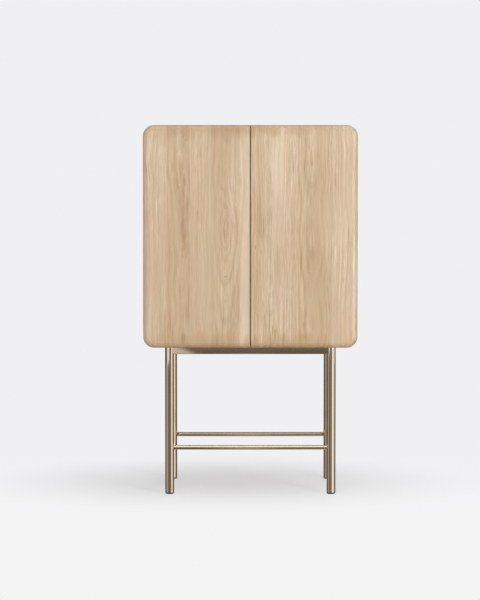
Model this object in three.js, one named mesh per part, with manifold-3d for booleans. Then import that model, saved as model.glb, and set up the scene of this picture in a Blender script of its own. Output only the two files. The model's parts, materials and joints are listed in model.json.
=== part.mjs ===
// Bar cabinet with a fold out shelf: an oak box with two overlay doors on a metal leg frame.
// Millimetres, +Z up, the doors face -Y, and the origin is on the floor under the middle of the box.

import * as THREE from 'three';
import { mergeVertices } from 'three/addons/utils/BufferGeometryUtils.js';
import Module from 'manifold-3d';

const wasm = await Module();
wasm.setup();

// Overall size
const cabinetWidth = 860;
const cabinetHeight = 893;
const cabinetDepth = 450;
const legHeight = 595;
const cornerRadius = 45;

// Clearances
const fitGap = 0.3;
const doorMeetingGap = 4;
const doorBackGap = 3;
const overrun = 5;

// Roundness
const tubeSides = 28;
const rodSides = 20;
const pinSides = 14;
const cornerSteps = 5;
const arcSteps = 3;
const tubeCornerSteps = 1;
const edgeSteps = 7;
const backEdgeSteps = 2;

// Doors
const doorThickness = 28;
const doorFrontRound = 24;
const doorBackRound = 4;

// Box panels
const panelThickness = 20;
const backThickness = 10;
const backRecess = 8;

// Inside of the box
const dividerThickness = 18;
const dividerSetback = 44;
const lowerBayRoom = 215;
const middleShelfSetback = 4;
const underLooseShelfRoom = 300;
const looseShelfThickness = 18;
const looseShelfSetback = 126;
const looseShelfPlay = 1;
const pegRadius = 2.5;
const pegLength = 20;
const pegInset = 40;
const pegSeat = 8;
const pegPitch = 64;
const pegHeights = 3;

// Stemware rack under the top
const rackMargin = 12;
const rackChannels = 4;
const rackBoard = 12;
const rackWeb = 12;
const rackFootRoom = 24;
const rackFlange = 8;
const rackStemGap = 26;
const rackSetback = 94;
const rackRearGap = 15;

// Leg frame
const legRadius = 18;
const legWall = 2;
const legInsetX = 104;
const legInsetY = 55;
const railSize = 28;
const railWall = 2;
const stretcherRadius = 9;
const stretcherWall = 1.5;
const stretcherHeight = 187;

// Glides
const glideRadius = 16.8;
const glideThickness = 6;
const glideRound = 2;
const glideSpigot = 15;

// Cup hinges
const cupRadius = 20;
const cupWall = 1;
const cupDepth = 15.5;
const cupEdge = 4;
const cupEarLength = 62;
const cupEarWidth = 22;
const hingeInset = 105;
const hingeAxisFromEdge = 10;
const hingeAxisFromBack = 11;
const hingePinRadius = 1.8;
const hingeEyeWall = 1.3;
const hingeArmWidth = 11;
const hingeArmThickness = 3;
const hingeArmOffset = 14;
const hingeArmLength = 96;
const hingeArmRound = 5;
const hingePlateOverlap = 0.5;
const hingePlateStart = 26;
const hingePlateLength = 58;
const hingePlateHeight = 50;
const hingePlateRound = 9;

// Push latches
const latchOffset = 34;
const latchWidth = 18;
const latchHeight = 20;
const latchLength = 62;
const latchTravel = 4;
const latchReach = 14;
const plungerRadius = 4;
const plungerInside = 32;
const plungerTipRadius = 5.5;
const plungerTipLength = 5;

// Fold out shelf on the right door
const flapThickness = 16;
const flapLength = 250;
const flapCornerRadius = 18;
const flapPullDepth = 8;
const flapPullHeight = 16;
const flapDoorGap = 3;
const flapFreeMargin = 26;
const flapHingeMargin = 50;
const flapAxisLift = 205;
const cleatHeight = 30;
const pianoLeaf = 1;
const pianoKnuckleRadius = 3;
const pianoPinRadius = 1.5;
const pianoLeafWidth = 15;
const pianoKnuckles = 9;
const pianoTabOverlap = 0.7;
const pianoLeafGap = 0.6;
const catchRadius = 9;
const catchInset = 25;

// Swing out bracket under the shelf
const bracketReach = 168;
const bracketHubLength = 128;
const bracketThickness = 6;
const bracketTipHeight = 16;
const bracketFrameWidth = 15;
const bracketRise = 13;
const bracketWindowShare = 2 / 3;
const bracketPinRadius = 4;
const bracketHubWall = 3;
const bracketAxisFromDoor = 32;
const bracketPlateThickness = 3;
const bracketPlateWidth = 34;
const bracketPlateMargin = 14;
const lugThickness = 8;
const lugWall = 4.5;

// Bottle racks on the left door
const trayLifts = [14, 334];
const trayNames = ['lower', 'upper'];
const trayDepth = 100;
const trayFloor = 10;
const trayCheek = 10;
const trayBackHeight = 120;
const trayFrontHeight = 92;
const trayRound = 26;
const trayHingeMargin = 48;
const trayFreeMargin = 26;
const trayRailRadius = 4;
const trayRailHeight = 76;
const trayRailInset = 12;
const trayRailSeat = 6;

// Places that follow from the sizes above
const halfWidth = cabinetWidth / 2;
const boxTop = legHeight + cabinetHeight;
const boxMiddle = legHeight + cabinetHeight / 2;
const frontY = -cabinetDepth / 2;
const rearY = cabinetDepth / 2;
const doorBackY = frontY + doorThickness;
const carcassFrontY = doorBackY + doorBackGap;
const innerHalfWidth = halfWidth - panelThickness;
const innerBottom = legHeight + panelThickness;
const innerTop = boxTop - panelThickness;
const backFrontY = rearY - backRecess - backThickness;
const legSpacingX = cabinetWidth - 2 * legInsetX;
const legSpacingY = cabinetDepth - 2 * legInsetY;
const middleShelfTop = innerBottom + lowerBayRoom + panelThickness;
const looseShelfTop = middleShelfTop + underLooseShelfRoom + looseShelfThickness;
const flapAxisHeight = middleShelfTop + flapAxisLift;
const hingeAxisX = halfWidth - hingeAxisFromEdge;
const hingeAxisY = doorBackY - hingeAxisFromBack;
const hingeHeights = [legHeight + hingeInset, boxTop - hingeInset];
const hingeNames = ['lower', 'upper'];
const cupCentreX = halfWidth - cupEdge - cupRadius;
const pegZ = looseShelfTop - looseShelfThickness - pegRadius;
const pegPlaces = [carcassFrontY + looseShelfSetback + pegInset, backFrontY - pegInset];
const flapLeft = doorMeetingGap / 2 + flapFreeMargin;
const flapRight = halfWidth - flapHingeMargin;
const flapWidth = flapRight - flapLeft;
const flapX = (flapLeft + flapRight) / 2;
const flapAxisY = doorBackY + flapDoorGap + flapThickness + pianoKnuckleRadius + fitGap;
const bracketTop = flapAxisHeight + pianoKnuckleRadius;
const bracketHubTop = flapAxisHeight - pianoLeafGap / 2 - pianoLeaf - cleatHeight - bracketPlateMargin;
const bracketAxisY = doorBackY + bracketAxisFromDoor;
const trayWidth = halfWidth - trayHingeMargin - doorMeetingGap / 2 - trayFreeMargin;
const trayX = -halfWidth + trayHingeMargin + trayWidth / 2;
const sides = [{ name: 'left', sign: -1 }, { name: 'right', sign: 1 }];

// Finishes
const oakFront = { color: 0xcdb69b, roughness: 0.62, metalness: 0 };
const oakPanel = { color: 0xc8b092, roughness: 0.66, metalness: 0 };
const champagneMetal = { color: 0xa5937d, roughness: 0.28, metalness: 1 };
const brassMetal = { color: 0xb59a6a, roughness: 0.3, metalness: 1 };
const hingeSteel = { color: 0xb9bab9, roughness: 0.34, metalness: 1 };
const blackPlastic = { color: 0x232221, roughness: 0.55, metalness: 0 };
const greyPlastic = { color: 0x8f8d88, roughness: 0.5, metalness: 0 };

// Turns that bring an extrusion, made along Z, to another axis
const alongX = new THREE.Matrix4().makeBasis(
  new THREE.Vector3(0, 1, 0),
  new THREE.Vector3(0, 0, 1),
  new THREE.Vector3(1, 0, 0),
);
const alongY = new THREE.Matrix4().makeBasis(
  new THREE.Vector3(1, 0, 0),
  new THREE.Vector3(0, 0, 1),
  new THREE.Vector3(0, -1, 0),
);

// Turns that bring a round piece, made about Y, to another axis
const roundTurns = { x: alongX.clone().invert(), y: new THREE.Matrix4(), z: alongX };

// A closed geometry as a solid that can be joined and cut
function solidOf(geometry) {
  const bare = geometry.clone();
  bare.deleteAttribute('normal');
  bare.deleteAttribute('uv');
  const merged = mergeVertices(bare);
  return new wasm.Manifold(new wasm.Mesh({
    numProp: 3,
    vertProperties: new Float32Array(merged.attributes.position.array),
    triVerts: new Uint32Array(merged.index.array),
  }));
}

// A joined or cut solid as a geometry again
function geometryOf(solid) {
  const mesh = solid.getMesh();
  const geometry = new THREE.BufferGeometry();
  geometry.setAttribute('position', new THREE.BufferAttribute(mesh.vertProperties, mesh.numProp));
  geometry.setIndex(new THREE.BufferAttribute(mesh.triVerts, 1));
  geometry.computeVertexNormals();
  return geometry;
}

// One geometry joined with others, and others cut out of it
function shaped(base, joined = [], cut = []) {
  let solid = solidOf(base);
  for (const geometry of joined) solid = solid.add(solidOf(geometry));
  for (const geometry of cut) solid = solid.subtract(solidOf(geometry));
  return geometryOf(solid);
}

// A block between two corners
function block(x0, x1, y0, y1, z0, z1) {
  const geometry = new THREE.BoxGeometry(x1 - x0, y1 - y0, z1 - z0);
  return geometry.translate((x0 + x1) / 2, (y0 + y1) / 2, (z0 + z1) / 2);
}

// A rod centred on the origin, along the named axis
function rod(radius, length, axis, sidesRound) {
  const geometry = new THREE.CylinderGeometry(radius, radius, length, sidesRound);
  return geometry.applyMatrix4(roundTurns[axis]);
}

// A tube centred on the origin, along the named axis
function tube(outer, inner, length, axis, sidesRound) {
  const half = length / 2;
  const profile = [
    new THREE.Vector2(inner, -half),
    new THREE.Vector2(outer, -half),
    new THREE.Vector2(outer, half),
    new THREE.Vector2(inner, half),
    new THREE.Vector2(inner, -half),
  ];
  return new THREE.LatheGeometry(profile, sidesRound).applyMatrix4(roundTurns[axis]);
}

// A straight extrusion of an outline, from zero along +Z
function prism(outline, length, steps = arcSteps) {
  return new THREE.ExtrudeGeometry(outline, {
    depth: length,
    bevelEnabled: false,
    curveSegments: steps,
  });
}

// A rectangle with rounded corners about the origin
function roundedRectangle(width, height, radius) {
  const x = width / 2 - radius;
  const y = height / 2 - radius;
  const quarter = Math.PI / 2;
  const shape = new THREE.Shape();
  shape.absarc(x, y, radius, 0, quarter);
  shape.absarc(-x, y, radius, quarter, 2 * quarter);
  shape.absarc(-x, -y, radius, 2 * quarter, 3 * quarter);
  shape.absarc(x, -y, radius, 3 * quarter, 4 * quarter);
  return shape;
}

const cabinet = new THREE.Group();
cabinet.name = 'bar_cabinet';

// A named piece with its own material, placed in its parent
function addPiece(parent, name, geometry, finish, x = 0, y = 0, z = 0) {
  const mesh = new THREE.Mesh(geometry, new THREE.MeshStandardMaterial(finish));
  mesh.name = name;
  mesh.position.set(x, y, z);
  parent.add(mesh);
  return mesh;
}

// Leg frame: four tubes, coped square rails under the box and two round stretchers
const legPlaces = [
  { name: 'front_left', x: -1, y: -1 },
  { name: 'front_right', x: 1, y: -1 },
  { name: 'rear_left', x: -1, y: 1 },
  { name: 'rear_right', x: 1, y: 1 },
];

function glideGeometry() {
  const spigotRadius = legRadius - legWall - fitGap;
  const profile = [
    new THREE.Vector2(0, 0),
    new THREE.Vector2(glideRadius - glideRound, 0),
    new THREE.Vector2(glideRadius, glideRound),
    new THREE.Vector2(glideRadius, glideThickness),
    new THREE.Vector2(spigotRadius, glideThickness),
    new THREE.Vector2(spigotRadius, glideThickness + glideSpigot),
    new THREE.Vector2(0, glideThickness + glideSpigot),
  ];
  return new THREE.LatheGeometry(profile, rodSides).applyMatrix4(roundTurns.z);
}

function squareTube(size, wall, length) {
  const outline = roundedRectangle(size, size, wall);
  outline.holes.push(roundedRectangle(size - 2 * wall, size - 2 * wall, wall / 2));
  return prism(outline, length, tubeCornerSteps).translate(0, 0, -length / 2);
}

function addLegFrame(parent) {
  const legX = legSpacingX / 2;
  const legY = legSpacingY / 2;
  const legLength = legHeight - glideThickness;
  for (const place of legPlaces) {
    const leg = tube(legRadius, legRadius - legWall, legLength, 'z', tubeSides);
    addPiece(parent, `leg_${place.name}`, leg, champagneMetal,
      place.x * legX, place.y * legY, glideThickness + legLength / 2);
    addPiece(parent, `glide_${place.name}`, glideGeometry(), blackPlastic,
      place.x * legX, place.y * legY, 0);
  }

  const railZ = legHeight - railSize / 2;
  const cope = (x, y, length) => rod(legRadius + fitGap, length, 'z', tubeSides).translate(x, y, 0);
  const copeLength = railSize + 2 * overrun;
  for (const [name, y] of [['rail_front', -legY], ['rail_rear', legY]]) {
    const rail = squareTube(railSize, railWall, legSpacingX).applyMatrix4(alongX);
    const cuts = [cope(-legX, 0, copeLength), cope(legX, 0, copeLength)];
    addPiece(parent, name, shaped(rail, [], cuts), champagneMetal, 0, y, railZ);
  }
  const crossSize = railSize + 2 * fitGap;
  for (const [name, x] of [['rail_left', -legX], ['rail_right', legX]]) {
    const rail = squareTube(railSize, railWall, legSpacingY).applyMatrix4(alongY);
    const cuts = [];
    for (const end of [-legY, legY]) {
      cuts.push(cope(0, end, copeLength));
      cuts.push(new THREE.BoxGeometry(2 * railSize, crossSize, copeLength).translate(0, end, 0));
    }
    addPiece(parent, name, shaped(rail, [], cuts), champagneMetal, x, 0, railZ);
  }
  for (const [name, y] of [['stretcher_front', -legY], ['stretcher_rear', legY]]) {
    const inner = stretcherRadius - stretcherWall;
    const stretcher = tube(stretcherRadius, inner, legSpacingX, 'x', rodSides);
    const cutLength = 2 * (stretcherRadius + overrun);
    const cuts = [cope(-legX, 0, cutLength), cope(legX, 0, cutLength)];
    addPiece(parent, name, shaped(stretcher, [], cuts), champagneMetal, 0, y, stretcherHeight);
  }
}

// Box: four flat panels, four rounded corner posts and a recessed back
function quarterRound(radius, start) {
  const shape = new THREE.Shape();
  shape.moveTo(0, 0);
  shape.absarc(0, 0, radius, start, start + Math.PI / 2);
  shape.closePath();
  return shape;
}

function pegHoles(wallX) {
  const holes = [];
  for (const y of pegPlaces) {
    for (let step = 0; step < pegHeights; step += 1) {
      const z = pegZ + (step - (pegHeights - 1) / 2) * pegPitch;
      const hole = rod(pegRadius + fitGap, pegLength + 2 * fitGap, 'x', pinSides);
      holes.push(hole.translate(wallX, y, z));
    }
  }
  return holes;
}

function addBox(parent) {
  const flatX = halfWidth - cornerRadius;
  const flatBottom = legHeight + cornerRadius;
  const flatTop = boxTop - cornerRadius;
  const top = block(-flatX, flatX, carcassFrontY, rearY, innerTop, boxTop);
  const bottom = block(-flatX, flatX, carcassFrontY, rearY, legHeight, innerBottom);
  const left = block(-halfWidth, -innerHalfWidth, carcassFrontY, rearY, flatBottom, flatTop);
  const right = block(innerHalfWidth, halfWidth, carcassFrontY, rearY, flatBottom, flatTop);
  addPiece(parent, 'top_panel', top, oakPanel);
  addPiece(parent, 'bottom_panel', bottom, oakPanel);
  addPiece(parent, 'left_panel', shaped(left, [], pegHoles(-innerHalfWidth)), oakPanel);
  addPiece(parent, 'right_panel', right, oakPanel);

  const posts = [
    { name: 'top_right', x: flatX, z: flatTop, start: 0 },
    { name: 'top_left', x: -flatX, z: flatTop, start: Math.PI / 2 },
    { name: 'bottom_left', x: -flatX, z: flatBottom, start: Math.PI },
    { name: 'bottom_right', x: flatX, z: flatBottom, start: -Math.PI / 2 },
  ];
  for (const post of posts) {
    const length = rearY - carcassFrontY;
    const geometry = prism(quarterRound(cornerRadius, post.start), length, cornerSteps);
    geometry.applyMatrix4(alongY);
    addPiece(parent, `corner_${post.name}`, geometry, oakPanel, post.x, rearY, post.z);
  }

  const backX = innerHalfWidth - fitGap;
  const backLow = innerBottom + fitGap;
  const backHigh = innerTop - fitGap;
  const notchX = flatX - fitGap;
  const notchLow = flatBottom + fitGap;
  const notchHigh = flatTop - fitGap;
  const outline = new THREE.Shape([
    new THREE.Vector2(-notchX, backLow),
    new THREE.Vector2(notchX, backLow),
    new THREE.Vector2(notchX, notchLow),
    new THREE.Vector2(backX, notchLow),
    new THREE.Vector2(backX, notchHigh),
    new THREE.Vector2(notchX, notchHigh),
    new THREE.Vector2(notchX, backHigh),
    new THREE.Vector2(-notchX, backHigh),
    new THREE.Vector2(-notchX, notchHigh),
    new THREE.Vector2(-backX, notchHigh),
    new THREE.Vector2(-backX, notchLow),
    new THREE.Vector2(-notchX, notchLow),
  ]);
  const back = prism(outline, backThickness).applyMatrix4(alongY);
  addPiece(parent, 'back_panel', back, oakPanel, 0, backFrontY + backThickness, 0);
}

// Inside of the box: middle shelf, two dividers, a loose shelf on pegs and a stemware rack
function addInterior(parent) {
  const dividerHalf = dividerThickness / 2;
  const dividerFront = carcassFrontY + dividerSetback;
  const middleFront = carcassFrontY + middleShelfSetback;
  const middleUnderside = middleShelfTop - panelThickness;
  const middle = block(-innerHalfWidth, innerHalfWidth, middleFront, backFrontY,
    middleUnderside, middleShelfTop);
  addPiece(parent, 'middle_shelf', middle, oakPanel);
  const lower = block(-dividerHalf, dividerHalf, dividerFront, backFrontY,
    innerBottom, middleUnderside);
  addPiece(parent, 'lower_divider', lower, oakPanel);
  const upper = block(-dividerHalf, dividerHalf, dividerFront, backFrontY, middleShelfTop, innerTop);
  const upperDivider = shaped(upper, [], pegHoles(-dividerHalf - pegLength / 2 + pegSeat));
  addPiece(parent, 'upper_divider', upperDivider, oakPanel);

  const loose = block(looseShelfPlay - innerHalfWidth, -dividerHalf - looseShelfPlay,
    carcassFrontY + looseShelfSetback, backFrontY - looseShelfPlay,
    looseShelfTop - looseShelfThickness, looseShelfTop);
  addPiece(parent, 'loose_shelf', loose, oakPanel);
  const pegX = { left: -innerHalfWidth, right: -dividerHalf - pegLength / 2 + pegSeat };
  for (const [side, x] of Object.entries(pegX)) {
    for (const [end, y] of [['front', pegPlaces[0]], ['rear', pegPlaces[1]]]) {
      const peg = rod(pegRadius, pegLength, 'x', pinSides);
      addPiece(parent, `shelf_peg_${end}_${side}`, peg, brassMetal, x, y, pegZ);
    }
  }
}

// One outline for the whole rack: a board with hanging webs, each with a flange at its foot
function rackOutline(width) {
  const pitch = (width - rackWeb) / rackChannels;
  const flangeHalf = (pitch - rackStemGap) / 2;
  const webLow = -rackBoard - rackFootRoom;
  const low = webLow - rackFlange;
  const points = [[0, 0], [0, low]];
  for (let channel = 0; channel < rackChannels; channel += 1) {
    const left = channel * pitch;
    const right = left + pitch;
    const leftFlange = left + rackWeb / 2 + flangeHalf;
    const rightFlange = right + rackWeb / 2 - flangeHalf;
    points.push([leftFlange, low], [leftFlange, webLow], [left + rackWeb, webLow]);
    points.push([left + rackWeb, -rackBoard], [right, -rackBoard], [right, webLow]);
    points.push([rightFlange, webLow], [rightFlange, low]);
  }
  points.push([width, low], [width, 0]);
  return new THREE.Shape(points.map(([x, z]) => new THREE.Vector2(x, z)));
}

function addStemwareRack(parent) {
  const left = dividerThickness / 2 + rackMargin;
  const right = halfWidth - cornerRadius - rackMargin;
  const front = carcassFrontY + rackSetback;
  const rear = backFrontY - rackRearGap;
  const rack = prism(rackOutline(right - left), rear - front).applyMatrix4(alongY);
  addPiece(parent, 'stemware_rack', rack, oakPanel, left, rear, innerTop);
}

// Push latches: a housing under the top for each door, with a sprung plunger
function addLatches(parent) {
  const tipY = doorBackY + fitGap;
  const housingFront = tipY + latchReach;
  const plungerEnd = housingFront + plungerInside;
  const boreEnd = plungerEnd + latchTravel + fitGap;
  const axisZ = innerTop - latchHeight / 2;
  for (const side of sides) {
    const x = side.sign * latchOffset;
    const body = block(-latchWidth / 2, latchWidth / 2, housingFront, housingFront + latchLength,
      -latchHeight / 2, latchHeight / 2);
    const boreLength = boreEnd - housingFront + overrun;
    const bore = rod(plungerRadius + fitGap, boreLength, 'y', pinSides);
    bore.translate(0, boreEnd - boreLength / 2, 0);
    addPiece(parent, `latch_housing_${side.name}`, shaped(body, [], [bore]), greyPlastic, x, 0, axisZ);

    const shaft = rod(plungerRadius, plungerEnd - tipY - plungerTipLength / 2, 'y', pinSides);
    shaft.translate(0, (plungerEnd + tipY + plungerTipLength / 2) / 2, 0);
    const tip = rod(plungerTipRadius, plungerTipLength, 'y', pinSides);
    tip.translate(0, tipY + plungerTipLength / 2, 0);
    addPiece(parent, `latch_plunger_${side.name}`, shaped(shaft, [tip]), blackPlastic, x, 0, axisZ);
  }
}

// Door slabs: one rounded front, swept round the cabinet's outline, then split at the middle
function doorEdgeProfile() {
  const points = [];
  for (let step = 0; step <= edgeSteps; step += 1) {
    const angle = (step / edgeSteps) * Math.PI / 2;
    points.push({
      inset: doorFrontRound * (1 - Math.sin(angle)),
      depth: doorFrontRound * (1 - Math.cos(angle)),
    });
  }
  const straight = doorThickness - doorFrontRound - doorBackRound;
  for (let step = straight > fitGap ? 0 : 1; step <= backEdgeSteps; step += 1) {
    const angle = (step / backEdgeSteps) * Math.PI / 2;
    points.push({
      inset: doorBackRound * (1 - Math.cos(angle)),
      depth: doorThickness - doorBackRound * (1 - Math.sin(angle)),
    });
  }
  return points;
}

function frontSlab() {
  const rings = doorEdgeProfile().map(({ inset, depth }) => {
    const outline = roundedRectangle(
      cabinetWidth - 2 * inset,
      cabinetHeight - 2 * inset,
      cornerRadius - inset,
    );
    return outline.getPoints(cornerSteps).slice(0, -1).map(
      (point) => new THREE.Vector3(point.x, frontY + depth, point.y),
    );
  });
  const count = rings[0].length;
  const index = [];
  for (let ring = 0; ring + 1 < rings.length; ring += 1) {
    for (let side = 0; side < count; side += 1) {
      const next = (side + 1) % count;
      const a = ring * count + side;
      const b = ring * count + next;
      index.push(a, b + count, b, a, a + count, b + count);
    }
  }
  const lastRing = (rings.length - 1) * count;
  for (let side = 1; side + 1 < count; side += 1) {
    index.push(0, side, side + 1);
    index.push(lastRing, lastRing + side + 1, lastRing + side);
  }
  const geometry = new THREE.BufferGeometry().setFromPoints(rings.flat());
  geometry.setIndex(index);
  return geometry;
}

function doorGeometry(side) {
  const slab = solidOf(frontSlab());
  const near = side.sign * doorMeetingGap / 2;
  const far = side.sign * (halfWidth + overrun);
  const half = block(Math.min(near, far), Math.max(near, far), frontY - overrun,
    doorBackY + overrun, -halfWidth - cabinetHeight, halfWidth + cabinetHeight);
  let solid = slab.intersect(solidOf(half));
  const boreDepth = cupDepth + cupWall + fitGap;
  for (const height of hingeHeights) {
    const bore = rod(cupRadius + fitGap, boreDepth + overrun, 'y', rodSides);
    const boreY = doorBackY + overrun - (boreDepth + overrun) / 2;
    bore.translate(side.sign * cupCentreX, boreY, height - boxMiddle);
    solid = solid.subtract(solidOf(bore));
  }
  return geometryOf(solid);
}

// Hinge cup: a bored cup with screw ears and the pin across it
function hingeCupGeometry(side) {
  const mouth = cupWall;
  const floor = -cupDepth;
  const profile = [
    new THREE.Vector2(0, floor - cupWall),
    new THREE.Vector2(cupRadius, floor - cupWall),
    new THREE.Vector2(cupRadius, mouth),
    new THREE.Vector2(cupRadius - cupWall, mouth),
    new THREE.Vector2(cupRadius - cupWall, floor),
    new THREE.Vector2(0, floor),
  ];
  const cup = new THREE.LatheGeometry(profile, rodSides);
  const earOutline = roundedRectangle(cupEarWidth, cupEarLength, cupEarWidth / 2 - fitGap);
  const ears = prism(earOutline, cupWall).applyMatrix4(alongY).translate(0, cupWall, 0);
  const through = rod(cupRadius - cupWall / 2, 2 * overrun, 'y', rodSides);
  const trimmedEars = shaped(ears, [], [through]);
  const pin = rod(hingePinRadius, 2 * cupRadius, 'z', pinSides);
  pin.translate(side.sign * (hingeAxisX - cupCentreX), -hingeAxisFromBack, 0);
  const within = rod(cupRadius - cupWall / 2, 2 * cupDepth, 'y', rodSides);
  const pinInCup = geometryOf(solidOf(pin).intersect(solidOf(within)));
  return shaped(cup, [trimmedEars, pinInCup]);
}

// Hinge arm: an eye on the pin, a cranked arm round the panel's edge and a plate on the panel
function hingeArmGeometry(side) {
  const inward = -side.sign;
  const eyeRadius = hingePinRadius + fitGap + hingeEyeWall;
  const half = hingeArmThickness / 2;
  const near = hingeArmOffset;
  const far = hingeArmOffset + hingeArmThickness;
  const outline = new THREE.Shape();
  outline.moveTo(0, -half);
  outline.lineTo(inward * (far - hingeArmRound), -half);
  outline.quadraticCurveTo(inward * far, -half, inward * far, -half + hingeArmRound);
  outline.lineTo(inward * far, hingeArmLength);
  outline.lineTo(inward * near, hingeArmLength);
  outline.lineTo(inward * near, half + hingeArmRound - hingeArmThickness);
  outline.quadraticCurveTo(inward * near, half,
    inward * (near - hingeArmRound + hingeArmThickness), half);
  outline.lineTo(0, half);
  outline.closePath();
  const arm = prism(outline, hingeArmWidth).translate(0, 0, -hingeArmWidth / 2);
  const eye = rod(eyeRadius, hingeArmWidth, 'z', pinSides);
  const bore = rod(hingePinRadius + fitGap, hingeArmWidth + 2 * overrun, 'z', pinSides);

  const wallX = hingeAxisX - innerHalfWidth;
  const plateThickness = hingeArmOffset - wallX + hingePlateOverlap;
  const plateOutline = roundedRectangle(hingePlateLength, hingePlateHeight, hingePlateRound);
  const plate = prism(plateOutline, plateThickness).applyMatrix4(alongX);
  const plateX = Math.min(inward * wallX, inward * (wallX + plateThickness));
  plate.translate(plateX, hingePlateStart + hingePlateLength / 2, 0);
  return shaped(arm, [eye, plate], [bore]);
}

function addDoor(parent, side) {
  addPiece(parent, `door_${side.name}`, doorGeometry(side), oakFront, 0, 0, boxMiddle);
  hingeHeights.forEach((height, index) => {
    const label = `${hingeNames[index]}_${side.name}`;
    addPiece(parent, `hinge_cup_${label}`, hingeCupGeometry(side), hingeSteel,
      side.sign * cupCentreX, doorBackY, height);
    addPiece(parent, `hinge_arm_${label}`, hingeArmGeometry(side), hingeSteel,
      side.sign * hingeAxisX, hingeAxisY, height);
  });
}

// Fold out shelf: board, cleat and piano hinge, stored upright against the right door
function flapGeometry() {
  const outline = new THREE.Shape();
  const half = flapWidth / 2;
  const round = flapCornerRadius;
  outline.moveTo(-half, 0);
  outline.lineTo(half, 0);
  outline.absarc(half - round, flapLength - round, round, 0, Math.PI / 2);
  outline.absarc(-half + round, flapLength - round, round, Math.PI / 2, Math.PI);
  outline.closePath();
  const board = prism(outline, flapThickness).applyMatrix4(alongY);
  const wedge = new THREE.Shape([
    new THREE.Vector2(-flapThickness - overrun, flapLength - flapPullHeight - overrun),
    new THREE.Vector2(-flapThickness + flapPullDepth, flapLength),
    new THREE.Vector2(-flapThickness + flapPullDepth, flapLength + overrun),
    new THREE.Vector2(-flapThickness - overrun, flapLength + overrun),
  ]);
  const pull = prism(wedge, flapWidth + 2 * overrun).applyMatrix4(alongX);
  pull.translate(-half - overrun, 0, 0);
  return shaped(board, [], [pull]);
}

// A piano hinge leaf: a strip with every second knuckle, standing above or below the pin
function pianoLeafGeometry(up, first) {
  const pitch = flapWidth / pianoKnuckles;
  const bore = pianoPinRadius + fitGap;
  const low = up > 0 ? pianoLeafGap / 2 : -pianoLeafGap / 2 - pianoLeaf;
  const high = low + pianoLeaf;
  const stripRear = -pianoKnuckleRadius - fitGap;
  const stripFront = stripRear - pianoLeafWidth;
  const half = flapWidth / 2;
  const joined = [];
  for (let knuckle = first; knuckle < pianoKnuckles; knuckle += 2) {
    const x0 = -half + knuckle * pitch + (knuckle > 0 ? fitGap : 0);
    const x1 = -half + (knuckle + 1) * pitch;
    const barrel = tube(pianoKnuckleRadius, bore, x1 - x0, 'x', pinSides);
    joined.push(barrel.translate((x0 + x1) / 2, 0, 0));
    joined.push(block(x0, x1, stripRear - overrun, -bore - pianoTabOverlap, low, high));
  }
  const strip = block(-half, half, stripFront, stripRear, low, high);
  return shaped(strip, joined);
}

function addFoldOutShelf(parent) {
  const leafTop = pianoLeafGap / 2 + pianoLeaf;
  const boardRear = flapAxisY - pianoKnuckleRadius - fitGap;
  addPiece(parent, 'shelf_board', flapGeometry(), oakPanel, flapX, boardRear, flapAxisHeight + leafTop);
  const cleat = block(-flapWidth / 2, flapWidth / 2, doorBackY, boardRear, -cleatHeight, 0);
  addPiece(parent, 'shelf_cleat', cleat, oakPanel, flapX, 0, flapAxisHeight - leafTop);
  addPiece(parent, 'piano_leaf_fixed', pianoLeafGeometry(-1, 0), brassMetal,
    flapX, flapAxisY, flapAxisHeight);
  addPiece(parent, 'piano_leaf_moving', pianoLeafGeometry(1, 1), brassMetal,
    flapX, flapAxisY, flapAxisHeight);
  const pin = rod(pianoPinRadius, flapWidth, 'x', pinSides);
  addPiece(parent, 'piano_pin', pin, hingeSteel, flapX, flapAxisY, flapAxisHeight);
  const catchLength = flapDoorGap - fitGap;
  const disc = rod(catchRadius, catchLength, 'y', rodSides);
  const catchZ = flapAxisHeight + leafTop + flapLength - flapPullHeight - catchInset;
  addPiece(parent, 'shelf_catch', disc, hingeSteel, flapX, doorBackY + catchLength / 2, catchZ);
}

// Swing out bracket: an open gusset on a hub, its pin and the lugged plate on the door
function bracketGeometry() {
  const hubRadius = bracketPinRadius + fitGap + bracketHubWall;
  const bore = bracketPinRadius + fitGap;
  const top = bracketTop - bracketHubTop;
  const foot = -bracketHubLength;
  const tipLow = top - bracketTipHeight;
  const inner = bore + fitGap;
  const frame = bracketFrameWidth;
  const outline = new THREE.Shape();
  outline.moveTo(-inner, 0);
  outline.lineTo(-bracketRise, 0);
  outline.lineTo(-bracketRise, top);
  outline.lineTo(-bracketReach, top);
  outline.lineTo(-bracketReach, tipLow);
  outline.quadraticCurveTo(-bracketRise - 2 * frame, tipLow - frame, -bracketRise, foot);
  outline.lineTo(-inner, foot);
  outline.closePath();
  const opening = new THREE.Path();
  const openRight = -bracketRise - frame;
  const openLeft = -bracketReach * bracketWindowShare;
  opening.moveTo(openRight, top - frame);
  opening.lineTo(openLeft, top - frame);
  opening.quadraticCurveTo(openRight - frame, tipLow - 2 * frame, openRight, foot / 2);
  opening.closePath();
  outline.holes.push(opening);
  const gusset = prism(outline, bracketThickness).applyMatrix4(alongY);
  gusset.translate(0, bracketThickness / 2, 0);
  const hub = rod(hubRadius, bracketHubLength, 'z', rodSides).translate(0, 0, foot / 2);
  const through = rod(bore, bracketHubLength + 2 * overrun, 'z', rodSides).translate(0, 0, foot / 2);
  return shaped(gusset, [hub], [through]);
}

function lugGeometry(z) {
  const radius = bracketPinRadius + fitGap + lugWall;
  const outline = new THREE.Shape();
  outline.moveTo(radius, -bracketAxisFromDoor);
  outline.absarc(0, 0, radius, 0, Math.PI);
  outline.lineTo(-radius, -bracketAxisFromDoor);
  outline.closePath();
  return prism(outline, lugThickness).translate(0, 0, z);
}

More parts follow.
